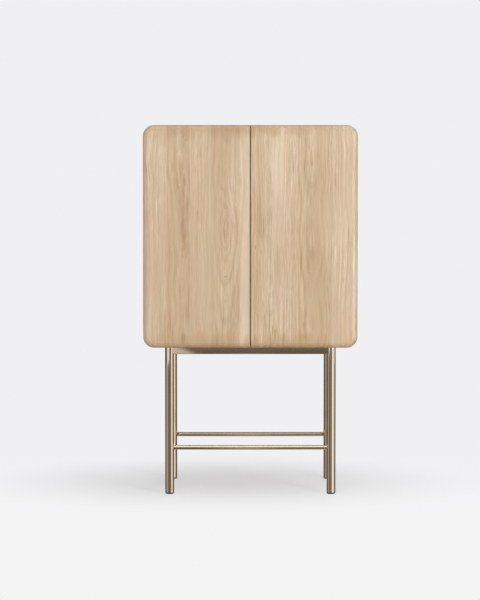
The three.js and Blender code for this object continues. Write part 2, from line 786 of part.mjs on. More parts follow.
function addBracket(parent) {
  const low = -bracketHubLength - 2 * fitGap - lugThickness;
  const plate = prism(roundedRectangle(bracketPlateWidth, lugThickness - low, bracketPlateThickness),
    bracketPlateThickness).applyMatrix4(alongY);
  plate.translate(0, bracketPlateThickness - bracketAxisFromDoor, (low + lugThickness) / 2);
  const boreLength = lugThickness - low + 2 * overrun;
  const bore = rod(bracketPinRadius + fitGap, boreLength, 'z', rodSides);
  bore.translate(0, 0, (low + lugThickness) / 2);
  const mount = shaped(plate, [lugGeometry(fitGap), lugGeometry(low)], [bore]);
  addPiece(parent, 'bracket_plate', mount, brassMetal, flapX, bracketAxisY, bracketHubTop);
  addPiece(parent, 'bracket_arm', bracketGeometry(), brassMetal, flapX, bracketAxisY, bracketHubTop);
  const pin = rod(bracketPinRadius, lugThickness - low, 'z', rodSides);
  addPiece(parent, 'bracket_pin', pin, hingeSteel, flapX, bracketAxisY,
    bracketHubTop + (low + lugThickness) / 2);
}

// Bottle racks on the left door: a tray with shaped cheeks and a guard rail
function trayGeometry() {
  const side = new THREE.Shape();
  side.moveTo(0, 0);
  side.lineTo(trayDepth, 0);
  side.lineTo(trayDepth, trayFrontHeight - trayRound);
  side.quadraticCurveTo(trayDepth, trayFrontHeight, trayDepth - trayRound, trayFrontHeight);
  side.quadraticCurveTo(trayRound, trayFrontHeight, 0, trayBackHeight);
  side.closePath();
  const body = prism(side, trayWidth).applyMatrix4(alongX).translate(-trayWidth / 2, 0, 0);
  const innerHalf = trayWidth / 2 - trayCheek;
  const hollow = block(-innerHalf, innerHalf, -overrun, trayDepth + overrun,
    trayFloor, trayBackHeight + overrun);
  const sockets = [-1, 1].map((sign) => {
    const socket = rod(trayRailRadius + fitGap, 2 * (trayRailSeat + fitGap), 'x', pinSides);
    return socket.translate(sign * innerHalf, trayDepth - trayRailInset, trayRailHeight);
  });
  return shaped(body, [], [hollow, ...sockets]);
}

function addBottleRacks(parent) {
  const railLength = trayWidth - 2 * trayCheek + 2 * trayRailSeat;
  trayLifts.forEach((lift, index) => {
    const height = middleShelfTop + lift;
    addPiece(parent, `bottle_tray_${trayNames[index]}`, trayGeometry(), oakPanel,
      trayX, doorBackY, height);
    const rail = rod(trayRailRadius, railLength, 'x', pinSides);
    addPiece(parent, `bottle_rail_${trayNames[index]}`, rail, brassMetal,
      trayX, doorBackY + trayDepth - trayRailInset, height + trayRailHeight);
  });
}

addLegFrame(cabinet);
addBox(cabinet);
addInterior(cabinet);
addStemwareRack(cabinet);
addLatches(cabinet);
for (const side of sides) addDoor(cabinet, side);
addFoldOutShelf(cabinet);
addBracket(cabinet);
addBottleRacks(cabinet);

export default cabinet;
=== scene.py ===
"""A bar cabinet with a fold out shelf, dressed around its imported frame.

Metres, +Z up. The doors face -Y, and the origin is on the floor under the middle of the box.
"""

import json
import logging
import math
from collections.abc import Callable, Sequence
from dataclasses import dataclass
from enum import Enum

import bmesh
import bpy
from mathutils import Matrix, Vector

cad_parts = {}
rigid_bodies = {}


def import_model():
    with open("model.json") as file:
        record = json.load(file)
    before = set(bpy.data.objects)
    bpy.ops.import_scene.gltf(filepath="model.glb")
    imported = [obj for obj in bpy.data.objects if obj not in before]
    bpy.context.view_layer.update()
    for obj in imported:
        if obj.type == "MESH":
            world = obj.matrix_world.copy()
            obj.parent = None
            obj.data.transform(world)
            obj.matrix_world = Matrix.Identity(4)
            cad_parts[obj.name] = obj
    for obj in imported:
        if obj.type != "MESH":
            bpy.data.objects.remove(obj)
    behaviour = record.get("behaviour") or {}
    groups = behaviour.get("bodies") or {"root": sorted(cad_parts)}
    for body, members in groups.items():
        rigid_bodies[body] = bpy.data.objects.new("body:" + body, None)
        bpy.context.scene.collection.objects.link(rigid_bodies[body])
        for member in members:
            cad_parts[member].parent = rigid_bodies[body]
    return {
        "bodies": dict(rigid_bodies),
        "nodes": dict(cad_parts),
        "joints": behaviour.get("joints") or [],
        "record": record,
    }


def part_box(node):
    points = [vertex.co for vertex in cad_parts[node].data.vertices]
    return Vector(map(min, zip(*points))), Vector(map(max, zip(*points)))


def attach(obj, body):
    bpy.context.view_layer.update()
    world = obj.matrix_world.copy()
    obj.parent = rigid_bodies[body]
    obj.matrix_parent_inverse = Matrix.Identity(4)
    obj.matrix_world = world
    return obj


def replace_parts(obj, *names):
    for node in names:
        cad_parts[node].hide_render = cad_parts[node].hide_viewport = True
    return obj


LOG = logging.getLogger("bar_cabinet")
GRAIN = "grain"
QUARTER = math.pi / 2
CREASE = math.radians(38)
SAME_POINT = 1e-6
SLIVER = 1e-7

# Metres: the play round a pin, the rounds of metal and wooden edges, and a cutter's overshoot.
FIT = 0.0003
METAL_EASE = 0.0006
WOOD_ARRIS = 0.0009
OVERSHOOT = 0.01

Colour = tuple[float, float, float]
Point2 = tuple[float, float]


def srgb(red: int, green: int, blue: int) -> Colour:
    """Turns a display colour into the linear one that shaders take.

    Args:
        red: Red, 0 to 255.
        green: Green, 0 to 255.
        blue: Blue, 0 to 255.

    Returns:
        The linear colour.
    """
    channels = []
    for value in (red, green, blue):
        share = value / 255
        channels.append(share / 12.92 if share <= 0.04045 else ((share + 0.055) / 1.055) ** 2.4)
    return channels[0], channels[1], channels[2]


def operator(operation: str, swapped: bool = False) -> Callable[["Wire", object], "Wire"]:
    """Makes a method that adds a Math node of a wire and a value.

    Args:
        operation: What the node does.
        swapped: Whether the value comes before the wire.

    Returns:
        The method.
    """

    def method(self: "Wire", other: "Wire | float") -> "Wire":
        """Adds the node."""
        values = (other, self) if swapped else (self, other)
        return self.graph.math(operation, *values)

    return method


class Wire:
    """A node's output that takes part in Python arithmetic, which adds Math nodes."""

    def __init__(self, graph: "Graph", socket: bpy.types.NodeSocket) -> None:
        """Wraps one output socket of a graph."""
        self.graph = graph
        self.socket = socket

    __add__ = __radd__ = operator("ADD")
    __sub__ = operator("SUBTRACT")
    __rsub__ = operator("SUBTRACT", swapped=True)
    __mul__ = __rmul__ = operator("MULTIPLY")
    __truediv__ = operator("DIVIDE")
    at_least = operator("MAXIMUM")
    at_most = operator("MINIMUM")

    def floor(self) -> "Wire":
        """Rounds down to a whole number."""
        return self.graph.math("FLOOR", self)

    def rise(self, low: float, high: float) -> "Wire":
        """Climbs smoothly from 0 at low to 1 at high, or falls where low is the larger."""
        return self.graph.node(
            "ShaderNodeMapRange",
            {"interpolation_type": "SMOOTHSTEP"},
            {"Value": self, "From Min": low, "From Max": high},
        )


class Graph:
    """The node tree of one material or of the world."""

    def __init__(self, tree: bpy.types.NodeTree) -> None:
        """Clears a tree and starts an empty graph in it."""
        self.tree = tree
        self.tree.nodes.clear()

    def node(
        self,
        kind: str,
        settings: dict[str, object] | None = None,
        inputs: dict[str | int, object] | None = None,
        output: str | int = 0,
    ) -> Wire:
        """Adds a node.

        Args:
            kind: The node's type.
            settings: Its properties, and a ramp's stops as (place, colour) pairs.
            inputs: A value or a wire for each socket, by name or number.
            output: The socket that the returned wire wraps.

        Returns:
            The wire from the node's output.
        """
        node = self.tree.nodes.new(kind)
        for name, value in (settings or {}).items():
            if name == "stops":
                self._set_stops(node.color_ramp, value)
            elif name == "between_stops":
                node.color_ramp.interpolation = value
            else:
                setattr(node, name, value)
        for name, value in (inputs or {}).items():
            socket = node.inputs[name]
            if isinstance(value, Wire):
                self.tree.links.new(value.socket, socket)
            elif isinstance(value, tuple) and socket.type == "RGBA":
                socket.default_value = (*value, 1.0)
            else:
                socket.default_value = value
        return Wire(self, node.outputs[output]) if node.outputs else Wire(self, None)

    @staticmethod
    def _set_stops(ramp: bpy.types.ColorRamp, stops: Sequence[tuple[float, Colour]]) -> None:
        """Gives a colour ramp its stops, in order."""
        while len(ramp.elements) < len(stops):
            ramp.elements.new(1.0)
        for element, (place, colour) in zip(ramp.elements, stops):
            element.position = place
            element.color = (*colour, 1.0)

    def math(self, operation: str, *values: Wire | float) -> Wire:
        """Adds a Math node.

        Args:
            operation: What it does.
            values: Its operands, in order.

        Returns:
            The wire from its result.
        """
        return self.node("ShaderNodeMath", {"operation": operation}, dict(enumerate(values)))

    def vector(self, operation: str, first: Wire, second: Wire | tuple) -> Wire:
        """Adds a Vector Math node of two vectors."""
        settings = {"operation": operation}
        return self.node("ShaderNodeVectorMath", settings, {0: first, 1: second})

    def parts(self, vector: Wire) -> tuple[Wire, Wire, Wire]:
        """Takes a vector apart into its three numbers."""
        first = self.node("ShaderNodeSeparateXYZ", None, {0: vector})
        outputs = first.socket.node.outputs
        return first, Wire(self, outputs[1]), Wire(self, outputs[2])

    def noise(self, vector: Wire, scales: Colour, detail: float, roughness: float = 0.55) -> Wire:
        """Adds a fractal noise of a vector.

        Args:
            vector: The place that it reads.
            scales: Its cells to the metre along each axis.
            detail: How many finer layers it has.
            roughness: How strong the finer layers are.

        Returns:
            The noise, around a half.
        """
        inputs = {
            "Vector": self.vector("MULTIPLY", vector, scales),
            "Scale": 1.0,
            "Detail": detail,
            "Roughness": roughness,
        }
        return self.node("ShaderNodeTexNoise", None, inputs)

    def line_noise(self, value: Wire, detail: float, roughness: float = 0.55) -> Wire:
        """Adds a fractal noise of one number."""
        inputs = {"W": value, "Scale": 1.0, "Detail": detail, "Roughness": roughness}
        return self.node("ShaderNodeTexNoise", {"noise_dimensions": "1D"}, inputs)

    def mix(self, factor: Wire | float, first: object, second: object, blend: str = "MIX") -> Wire:
        """Mixes two colours.

        Args:
            factor: How much of the second there is.
            first: A colour or its wire.
            second: A colour or its wire.
            blend: The blending of the Mix node.

        Returns:
            The wire of the mixed colour.
        """
        settings = {"data_type": "RGBA", "blend_type": blend}
        return self.node("ShaderNodeMix", settings, {0: factor, 6: first, 7: second}, 2)

    def ramp(
        self, value: Wire, stops: Sequence[tuple[float, Colour]], between: str = "LINEAR"
    ) -> Wire:
        """Turns a number into a colour by a ramp of stops."""
        settings = {"stops": stops, "between_stops": between}
        return self.node("ShaderNodeValToRGB", settings, {0: value})

    def bump(self, height: Wire, strength: float, distance: float) -> Wire:
        """Turns a height into a bent normal."""
        inputs = {"Height": height, "Strength": strength, "Distance": distance}
        return self.node("ShaderNodeBump", None, inputs)

    def place(self) -> Wire:
        """Gives the place on the object."""
        return self.node("ShaderNodeTexCoord", None, None, "Object")

    def show(self, surface: Wire, output: str = "ShaderNodeOutputMaterial") -> None:
        """Links a shader to the output."""
        self.node(output, None, {"Surface": surface})

    def principled(self, inputs: dict[str, object]) -> None:
        """Adds the surface shader with its inputs and links it to the output."""
        surface = self.node("ShaderNodeBsdfPrincipled", None, inputs)
        self.show(surface)


def new_material(name: str) -> tuple[bpy.types.Material, Graph]:
    """Adds an empty node material.

    Args:
        name: The material's name.

    Returns:
        The material and its graph.
    """
    material = bpy.data.materials.new(name)
    material.use_nodes = True
    return material, Graph(material.node_tree)


@dataclass(frozen=True)
class Stave:
    """One stave of a veneered face: where it starts, its tree's heart, and its tone."""

    start: float
    heart: float
    depth: float
    tone: float


@dataclass(frozen=True)
class FigureMark:
    """A soft light, dark, lively or calm place in the figure of a face."""

    across: float
    along: float
    half_width: float
    half_length: float
    tone: float = 0.0
    warmth: float = 0.0
    stir: float = 0.0


class OakLayer(Enum):
    """The noises of the oak: cells to the metre across and along the fibres, detail, roughness."""

    SWAY = (13.0, 3.4, 3.0, 0.55)
    TREMBLE = (70.0, 11.0, 2.0, 0.55)
    BANDS = (90.0, 4.0, 2.0, 0.55)
    FIBRE = (290.0, 20.0, 3.0, 0.65)
    BROAD = (9.0, 1.7, 2.0, 0.55)
    DARK_LINES = (190.0, 5.0, 2.0, 0.55)
    LIGHT_LINES = (170.0, 4.5, 2.0, 0.55)
    BUSY = (8.0, 1.9, 2.0, 0.55)
    GRIT = (420.0, 60.0, 2.0, 0.55)
    PORES = (1150.0, 34.0, 2.0, 0.55)
    BLUSH = (26.0, 2.2, 2.0, 0.55)
    GOLDEN = (17.0, 1.9, 2.0, 0.55)

    def read(self, graph: Graph, place: Wire) -> Wire:
        """Adds the noise at a place, around a half."""
        across, along, detail, roughness = self.value
        return graph.noise(place, (across, across, along), detail, roughness)

    def swing(self, graph: Graph, place: Wire) -> Wire:
        """Adds the noise at a place, around zero."""
        return self.read(graph, place) - 0.5


@dataclass(frozen=True)
class OakFinish:
    """Pale oak under matt lacquer, from growth rings round a tree's heart.

    A share is how much of one layer goes into another, and a window is where a layer begins to
    show and where it shows in full.
    """

    name: str
    staves: tuple[Stave, ...] = ()
    marks: tuple[FigureMark, ...] = ()
    dark: Colour = srgb(168, 137, 103)
    middle: Colour = srgb(206, 181, 153)
    light: Colour = srgb(238, 219, 195)
    pink: Colour = (0.995, 0.968, 0.975)
    green: Colour = (0.968, 0.982, 0.948)
    warm: Colour = (1.0, 0.932, 0.825)
    cool: Colour = (1.0, 1.020, 1.045)

    stave_width: float = 0.16
    reach: float = 0.5
    deepest: float = 0.12
    shallowest: float = 0.02
    heart_spread: float = 2.2
    heart_start: float = 0.6
    tone_spread: float = 0.22

    lean: float = 0.055
    wander_width: float = 0.042
    sway_width: float = 0.016
    rise_height: float = 0.085
    least_radius: float = 0.002
    ring_sway: float = 0.009
    ring_tremble: float = 0.0030
    drift_sway: float = 0.020
    drift_wander: float = 0.016
    rings_per_metre: float = 105.0
    flames_per_metre: float = 62.0

    figure_share: float = 0.46
    bands_share: float = 0.44
    fibre_share: float = 0.56
    dark_line_share: float = 0.22
    light_line_share: float = 0.18
    flame_share: float = 0.36
    broad_share: float = 0.50
    calm: float = 0.60
    liveliness: float = 0.85
    brightness: float = 0.49
    dark_line_window: Point2 = (0.60, 0.69)
    light_line_window: Point2 = (0.40, 0.31)
    busy_window: Point2 = (0.40, 0.62)
    heartwood_window: Point2 = (0.0062, 0.0008)

    fray_bands: float = 0.030
    fray_fibre: float = 0.012
    fray_sway: float = 0.22
    mark_body: float = 0.62
    mark_streaks: float = 2.0
    mark_grit: float = 1.2
    mark_fade: float = 0.5
    gold: float = 0.28
    gold_in_shade: float = 1.1
    blush_window: Point2 = (0.34, 0.66)

    pore_window: Point2 = (0.60, 0.72)
    pore_ring_window: Point2 = (0.12, -0.16)
    pore_shade: float = 0.30
    pore_depth: float = 0.8
    fibre_height: float = 0.6
    relief: float = 0.22
    relief_depth: float = 0.0004
    roughness: float = 0.58
    fibre_roughness: float = 0.14
    pore_roughness: float = 0.08
    specular: float = 0.3
    lacquer: float = 0.35
    lacquer_roughness: float = 0.24

    def material(self) -> bpy.types.Material:
        """Builds the oak's material."""
        material, graph = new_material(self.name)
        grain = graph.node("ShaderNodeAttribute", {"attribute_name": GRAIN}, None, "Vector")
        across, depth, along = graph.parts(grain)
        heart, heart_depth, tone = self._stave(graph, across)

        wander = graph.line_noise(along * 1.9 + heart * 9.0, 2.0) - 0.5
        rise = graph.line_noise(along * 2.9 + heart * 5.0 + 3.0, 1.0) - 0.5
        sway = OakLayer.SWAY.swing(graph, grain)
        tremble = OakLayer.TREMBLE.swing(graph, grain)
        side = across - heart + wander * self.wander_width + sway * self.sway_width
        lean = (along - 1.0) * self.lean
        below = heart_depth + depth + rise * self.rise_height - lean
        below = below.at_least(self.least_radius)
        radius = graph.math("SQRT", side * side + below * below)
        radius = radius + sway * self.ring_sway + tremble * self.ring_tremble
        drift = sway * self.drift_sway + wander * self.drift_wander
        flow = graph.vector("ADD", grain, graph.node("ShaderNodeCombineXYZ", None, {0: drift}))

        figure = graph.line_noise(radius * self.rings_per_metre, 4.0, 0.68) - 0.5
        flame = graph.line_noise(radius * self.flames_per_metre + 4.0, 1.0) - 0.5
        bands = OakLayer.BANDS.swing(graph, flow)
        fibre = OakLayer.FIBRE.swing(graph, flow)
        streaks = figure * self.figure_share + bands * self.bands_share + fibre * self.fibre_share
        streaks = self._lined(graph, grain, flow, streaks)
        heartwood = (side * side).rise(*self.heartwood_window)
        streaks = streaks + flame * heartwood * self.flame_share
        patch = OakLayer.BROAD.swing(graph, grain) * self.broad_share + tone

        frayed = across + bands * self.fray_bands + fibre * self.fray_fibre
        ragged = along + sway * self.fray_sway
        grit = OakLayer.GRIT.swing(graph, flow)
        texture = self.mark_body + streaks * self.mark_streaks + grit * self.mark_grit
        streaks, patch, glow = self._marked(frayed, ragged, texture, streaks, patch)

        pores = OakLayer.PORES.read(graph, grain).rise(*self.pore_window)
        pore_line = pores * figure.rise(*self.pore_ring_window)
        toned = self._toned(graph, grain, self.brightness + streaks + patch, patch, glow)
        height = fibre * self.fibre_height - pores * self.pore_depth
        roughness = self.roughness + fibre * self.fibre_roughness + pores * self.pore_roughness
        graph.principled(
            {
                "Base Color": graph.mix(pore_line * self.pore_shade, toned, self.dark, "MULTIPLY"),
                "Roughness": roughness,
                "Normal": graph.bump(height, self.relief, self.relief_depth),
                "Specular IOR Level": self.specular,
                "Coat Weight": self.lacquer,
                "Coat Roughness": self.lacquer_roughness,
            }
        )
        return material

    def _lined(self, graph: Graph, grain: Wire, flow: Wire, streaks: Wire) -> Wire:
        """Adds fine dark and light lines to the streaks, and calms them in places.

        Args:
            graph: The graph to add to.
            grain: The place in the board.
            flow: The same place, moved with the fibres.
            streaks: The streaks so far.

        Returns:
            The streaks with their lines.
        """
        dark_lines = OakLayer.DARK_LINES.read(graph, flow).rise(*self.dark_line_window)
        light_lines = OakLayer.LIGHT_LINES.read(graph, flow).rise(*self.light_line_window)
        busy = OakLayer.BUSY.read(graph, grain).rise(*self.busy_window)
        lined = streaks - dark_lines * self.dark_line_share + light_lines * self.light_line_share
        return lined * (busy * self.liveliness + self.calm)

    def _marked(
        self, across: Wire, along: Wire, texture: Wire, streaks: Wire, patch: Wire
    ) -> tuple[Wire, Wire, Wire | float]:
        """Lays the finish's marks over its figure.

        Args:
            across: The place across the fibres, frayed.
            along: The place along the fibres, ragged.
            texture: How the dark marks take up the figure.
            streaks: The streaks so far.
            patch: The soft changes of tone so far.

        Returns:
            The streaks, the changes of tone, and the warmth that the marks add.
        """
        glow: Wire | float = 0.0
        for mark in self.marks:
            side = (across - mark.across) / mark.half_width
            end = (along - mark.along) / mark.half_length
            spot = (side * side + end * end).rise(1.0, 0.0)
            if mark.warmth:
                glow = glow + spot * mark.warmth
            if mark.stir:
                streaks = streaks * (spot * mark.stir + 1.0)
            elif mark.tone > 0:
                patch = patch + spot * mark.tone
                streaks = streaks * (1.0 - spot * self.mark_fade)
            else:
                patch = patch + spot * mark.tone * texture
        return streaks, patch, glow

    def _toned(
        self, graph: Graph, grain: Wire, value: Wire, patch: Wire, glow: Wire | float
    ) -> Wire:
        """Turns the figure into colour.

        Args:
            graph: The graph to add to.
            grain: The place in the board.
            value: The figure, from dark at 0 to light at 1.
            patch: The soft changes of tone, of which the dark ones are the warmer.
            glow: The warmth that marks add.

        Returns:
            The colour without the pores.
        """
        stops = ((0.0, self.dark), (0.5, self.middle), (1.0, self.light))
        blush = OakLayer.BLUSH.read(graph, grain).rise(*self.blush_window)
        hue = graph.mix(blush, self.green, self.pink)
        toned = graph.mix(1.0, graph.ramp(value, stops), hue, "MULTIPLY")
        golden = self.gold - patch * self.gold_in_shade + OakLayer.GOLDEN.swing(graph, grain) + glow
        tint = graph.mix(golden, self.cool, self.warm)
        return graph.mix(1.0, toned, tint, "MULTIPLY")

    def _stave(self, graph: Graph, across: Wire) -> tuple[Wire, Wire, Wire]:
        """Gives the tree's heart, its depth and the tone of the stave at a place.

        Args:
            graph: The graph to add to.
            across: The place across the staves.

        Returns:
            Three wires, in metres, metres and a share of the ramp.
        """
        if self.staves:
            width = 2 * self.reach
            stops = [
                (
                    (stave.start + self.reach) / width,
                    (
                        (stave.heart + width) / (2 * width),
                        stave.depth / self.deepest,
                        stave.tone + 0.5,
                    ),
                )
                for stave in self.staves
            ]
            place = (across + self.reach) / width
            share = graph.parts(graph.ramp(place, stops, "CONSTANT"))
            heart = share[0] * (2 * width) - width
            return heart, share[1] * self.deepest, share[2] - 0.5
        number = (across / self.stave_width).floor()
        settings = {"noise_dimensions": "1D"}
        dice = graph.node("ShaderNodeTexWhiteNoise", settings, {"W": number}, "Color")
        share = graph.parts(dice)
        heart = (number + share[0] * self.heart_spread - self.heart_start) * self.stave_width
        depth = self.shallowest + share[1] * self.deepest
        return heart, depth, (share[2] - 0.5) * self.tone_spread


@dataclass(frozen=True)
class MetalFinish:
    """A plated metal with a fine satin."""

    name: str
    colour: Colour
    roughness: float
    cloudiness: float = 0.05
    cloud_cells: float = 28.0
    cloud_shade: float = 0.93
    satin: float = 0.03
    satin_cells: float = 1400.0
    satin_relief: float = 0.05
    satin_depth: float = 0.00005

    def material(self) -> bpy.types.Material:
        """Builds the metal's material."""
        material, graph = new_material(self.name)
        place = graph.place()
        cloud = graph.noise(place, (self.cloud_cells,) * 3, 3.0)
        satin = graph.noise(place, (self.satin_cells,) * 3, 2.0)
        shade = tuple(channel * self.cloud_shade for channel in self.colour)
        haze = (cloud - 0.5) * self.cloudiness + (satin - 0.5) * self.satin
        graph.principled(
            {
                "Base Color": graph.mix(cloud, self.colour, shade),
                "Metallic": 1.0,
                "Roughness": self.roughness + haze,
                "Normal": graph.bump(satin, self.satin_relief, self.satin_depth),
            }
        )
        return material


@dataclass(frozen=True)
class PlasticFinish:
    """A moulded plastic or rubber with a fine spark-eroded skin."""

    name: str
    colour: Colour
    roughness: float
    cloudiness: float = 0.12
    cloud_cells: float = 60.0
    dust_gain: float = 1.25
    dust: float = 0.004
    skin_cells: float = 2100.0
    skin_relief: float = 0.18
    skin_depth: float = 0.0001

    def material(self) -> bpy.types.Material:
        """Builds the plastic's material."""
        material, graph = new_material(self.name)
        place = graph.place()
        skin = graph.noise(place, (self.skin_cells,) * 3, 2.0)
        cloud = graph.noise(place, (self.cloud_cells,) * 3, 2.0)
        dusty = tuple(min(1.0, channel * self.dust_gain + self.dust) for channel in self.colour)
        graph.principled(
            {
                "Base Color": graph.mix(cloud, self.colour, dusty),
                "Roughness": self.roughness + (cloud - 0.5) * self.cloudiness,
                "Normal": graph.bump(skin, self.skin_relief, self.skin_depth),
            }
        )
        return material


DOOR_STAVES = tuple(
    Stave(*row)
    for row in (
        (-0.500, -0.800, 0.030, 0.06),
        (-0.333, -0.272, 0.030, -0.06),
        (-0.243, -0.420, 0.050, 0.01),
        (-0.160, -0.098, 0.045, -0.05),
        (-0.043, -0.300, 0.060, 0.13),
        (0.000, -0.120, 0.040, -0.03),
        (0.082, -0.200, 0.070, 0.06),
        (0.190, 0.247, 0.024, -0.04),
        (0.325, 0.700, 0.050, 0.05),
    )
)

DOOR_MARKS = tuple(
    FigureMark(*row)
    for row in (
        (0.170, 0.880, 0.080, 0.600, 0, 0, 0.80),
        (0.055, 0.720, 0.060, 0.350, 0, 0, 0.90),
        (0.280, 1.150, 0.035, 0.600, 0, 0, -0.45),
        (0.324, 0.850, 0.030, 0.500, 0, 0, 0.50),
        (-0.178, 0.800, 0.090, 0.380, 0, 0, -0.42),
        (-0.290, 1.120, 0.030, 0.120, 0, 0, -0.35),
        (0.114, 1.330, 0.040, 0.160, 0.15),
        (0.122, 1.130, 0.046, 0.200, 0.07),
        (-0.024, 0.830, 0.020, 0.330, 0.12),
        (-0.268, 1.180, 0.026, 0.230, -0.11),
        (-0.263, 1.253, 0.006, 0.032, -0.34),
        (-0.268, 1.190, 0.006, 0.050, -0.20),
        (-0.277, 1.305, 0.004, 0.045, -0.24),
        (-0.272, 1.085, 0.005, 0.060, -0.30),
        (-0.264, 1.035, 0.010, 0.040, -0.14, 0.20),
        (-0.250, 1.000, 0.016, 0.035, -0.08, 0.30),
        (-0.281, 0.835, 0.006, 0.060, -0.28),
        (-0.276, 0.740, 0.012, 0.110, -0.16, 0.10),
        (-0.269, 0.640, 0.010, 0.050, -0.30, 0.20),
        (-0.268, 1.425, 0.012, 0.060, -0.20),
        (-0.281, 1.364, 0.006, 0.015, 0.16),
        (-0.279, 1.226, 0.004, 0.009, 0.20),
        (-0.286, 0.935, 0.006, 0.022, 0.14),
        (-0.330, 0.700, 0.050, 0.100, -0.05, 0.30),
        (-0.0985, 0.868, 0.006, 0.007, -0.75),
        (-0.092, 0.930, 0.022, 0.055, -0.06, 0.35),
        (-0.090, 0.770, 0.006, 0.060, -0.16),
        (-0.076, 0.690, 0.008, 0.050, -0.20),
        (0.250, 1.000, 0.050, 0.480, -0.06),
        (0.235, 1.385, 0.004, 0.022, -0.28),
        (0.244, 1.325, 0.008, 0.055, -0.22),
        (0.246, 1.292, 0.004, 0.014, -0.42),
        (0.249, 1.030, 0.004, 0.036, -0.30),
        (0.251, 0.975, 0.005, 0.040, -0.38),
        (0.020, 1.018, 0.004, 0.014, -0.60),
        (0.030, 1.120, 0.014, 0.120, -0.12, 0.10),
        (0.099, 0.655, 0.005, 0.026, -0.55),
        (0.099, 0.670, 0.013, 0.070, -0.10, 0.40),
        # The last four marks make the doors darker and warmer in bands along their top and bottom
        # edges.
        (-0.170, 1.500, 0.420, 0.080, -0.21, 0.46),
        (0.120, 1.500, 0.300, 0.066, -0.19, 0.36),
        (-0.160, 0.590, 0.480, 0.085, -0.16, 0.55),
        (0.190, 0.590, 0.440, 0.065, -0.15, 0.52),
    )
)


class Finish(Enum):
    """Every finish on the cabinet."""

    OAK_FRONT = OakFinish("oak_front", DOOR_STAVES, DOOR_MARKS)
    OAK_CARCASS = OakFinish("oak_carcass")
    OAK_INSIDE = OakFinish("oak_inside")
    CHAMPAGNE = MetalFinish("champagne_metal", srgb(229, 209, 186), 0.08, 0.03)
    BRASS = MetalFinish("brass", srgb(214, 182, 124), 0.27)
    NICKEL = MetalFinish("hinge_steel", srgb(205, 204, 200), 0.24)
    GLIDE = PlasticFinish("black_glide", srgb(46, 44, 42), 0.55)
    BLACK = PlasticFinish("black_plastic", srgb(42, 41, 40), 0.45)
    GREY = PlasticFinish("grey_plastic", srgb(150, 148, 143), 0.48)


class Axis(Enum):
    """The three directions of the frame."""

    X = 0
    Y = 1
    Z = 2

    @property
    def vector(self) -> Vector:
        """The axis as a unit vector."""
        return Vector([float(place == self.value) for place in range(3)])

    def after(self, steps: int) -> "Axis":
        """Gives the axis that comes some steps later in X, Y, Z."""
        return Axis((self.value + steps) % 3)


class Run(Enum):
    """The axes that lie across a board's fibres, into its face and along its fibres."""

    UPRIGHT = (0, 1, 2)
    UPRIGHT_SIDE = (1, 0, 2)
    SIDEWAYS = (1, 2, 0)
    SIDEWAYS_FACE = (2, 1, 0)
    DEEP = (0, 2, 1)


EdgeTest = Callable[[bmesh.types.BMEdge], bool]
GrainRule = Callable[[Vector], Vector]


def runs_along(edge: bmesh.types.BMEdge, axis: Axis) -> bool:
    """Tells whether an edge runs along an axis."""
    span = edge.verts[1].co - edge.verts[0].co
    return abs(span.normalized()[axis.value]) > 0.999


def lies_at(edge: bmesh.types.BMEdge, axis: Axis, place: float) -> bool:
    """Tells whether both ends of an edge lie at a place on an axis."""
    return all(abs(vertex.co[axis.value] - place) < 1e-5 for vertex in edge.verts)


def is_sharp(edge: bmesh.types.BMEdge) -> bool:
    """Tells whether two faces meet at an edge by more than half a right angle."""
    return len(edge.link_faces) == 2 and edge.calc_face_angle(0.0) > QUARTER / 2


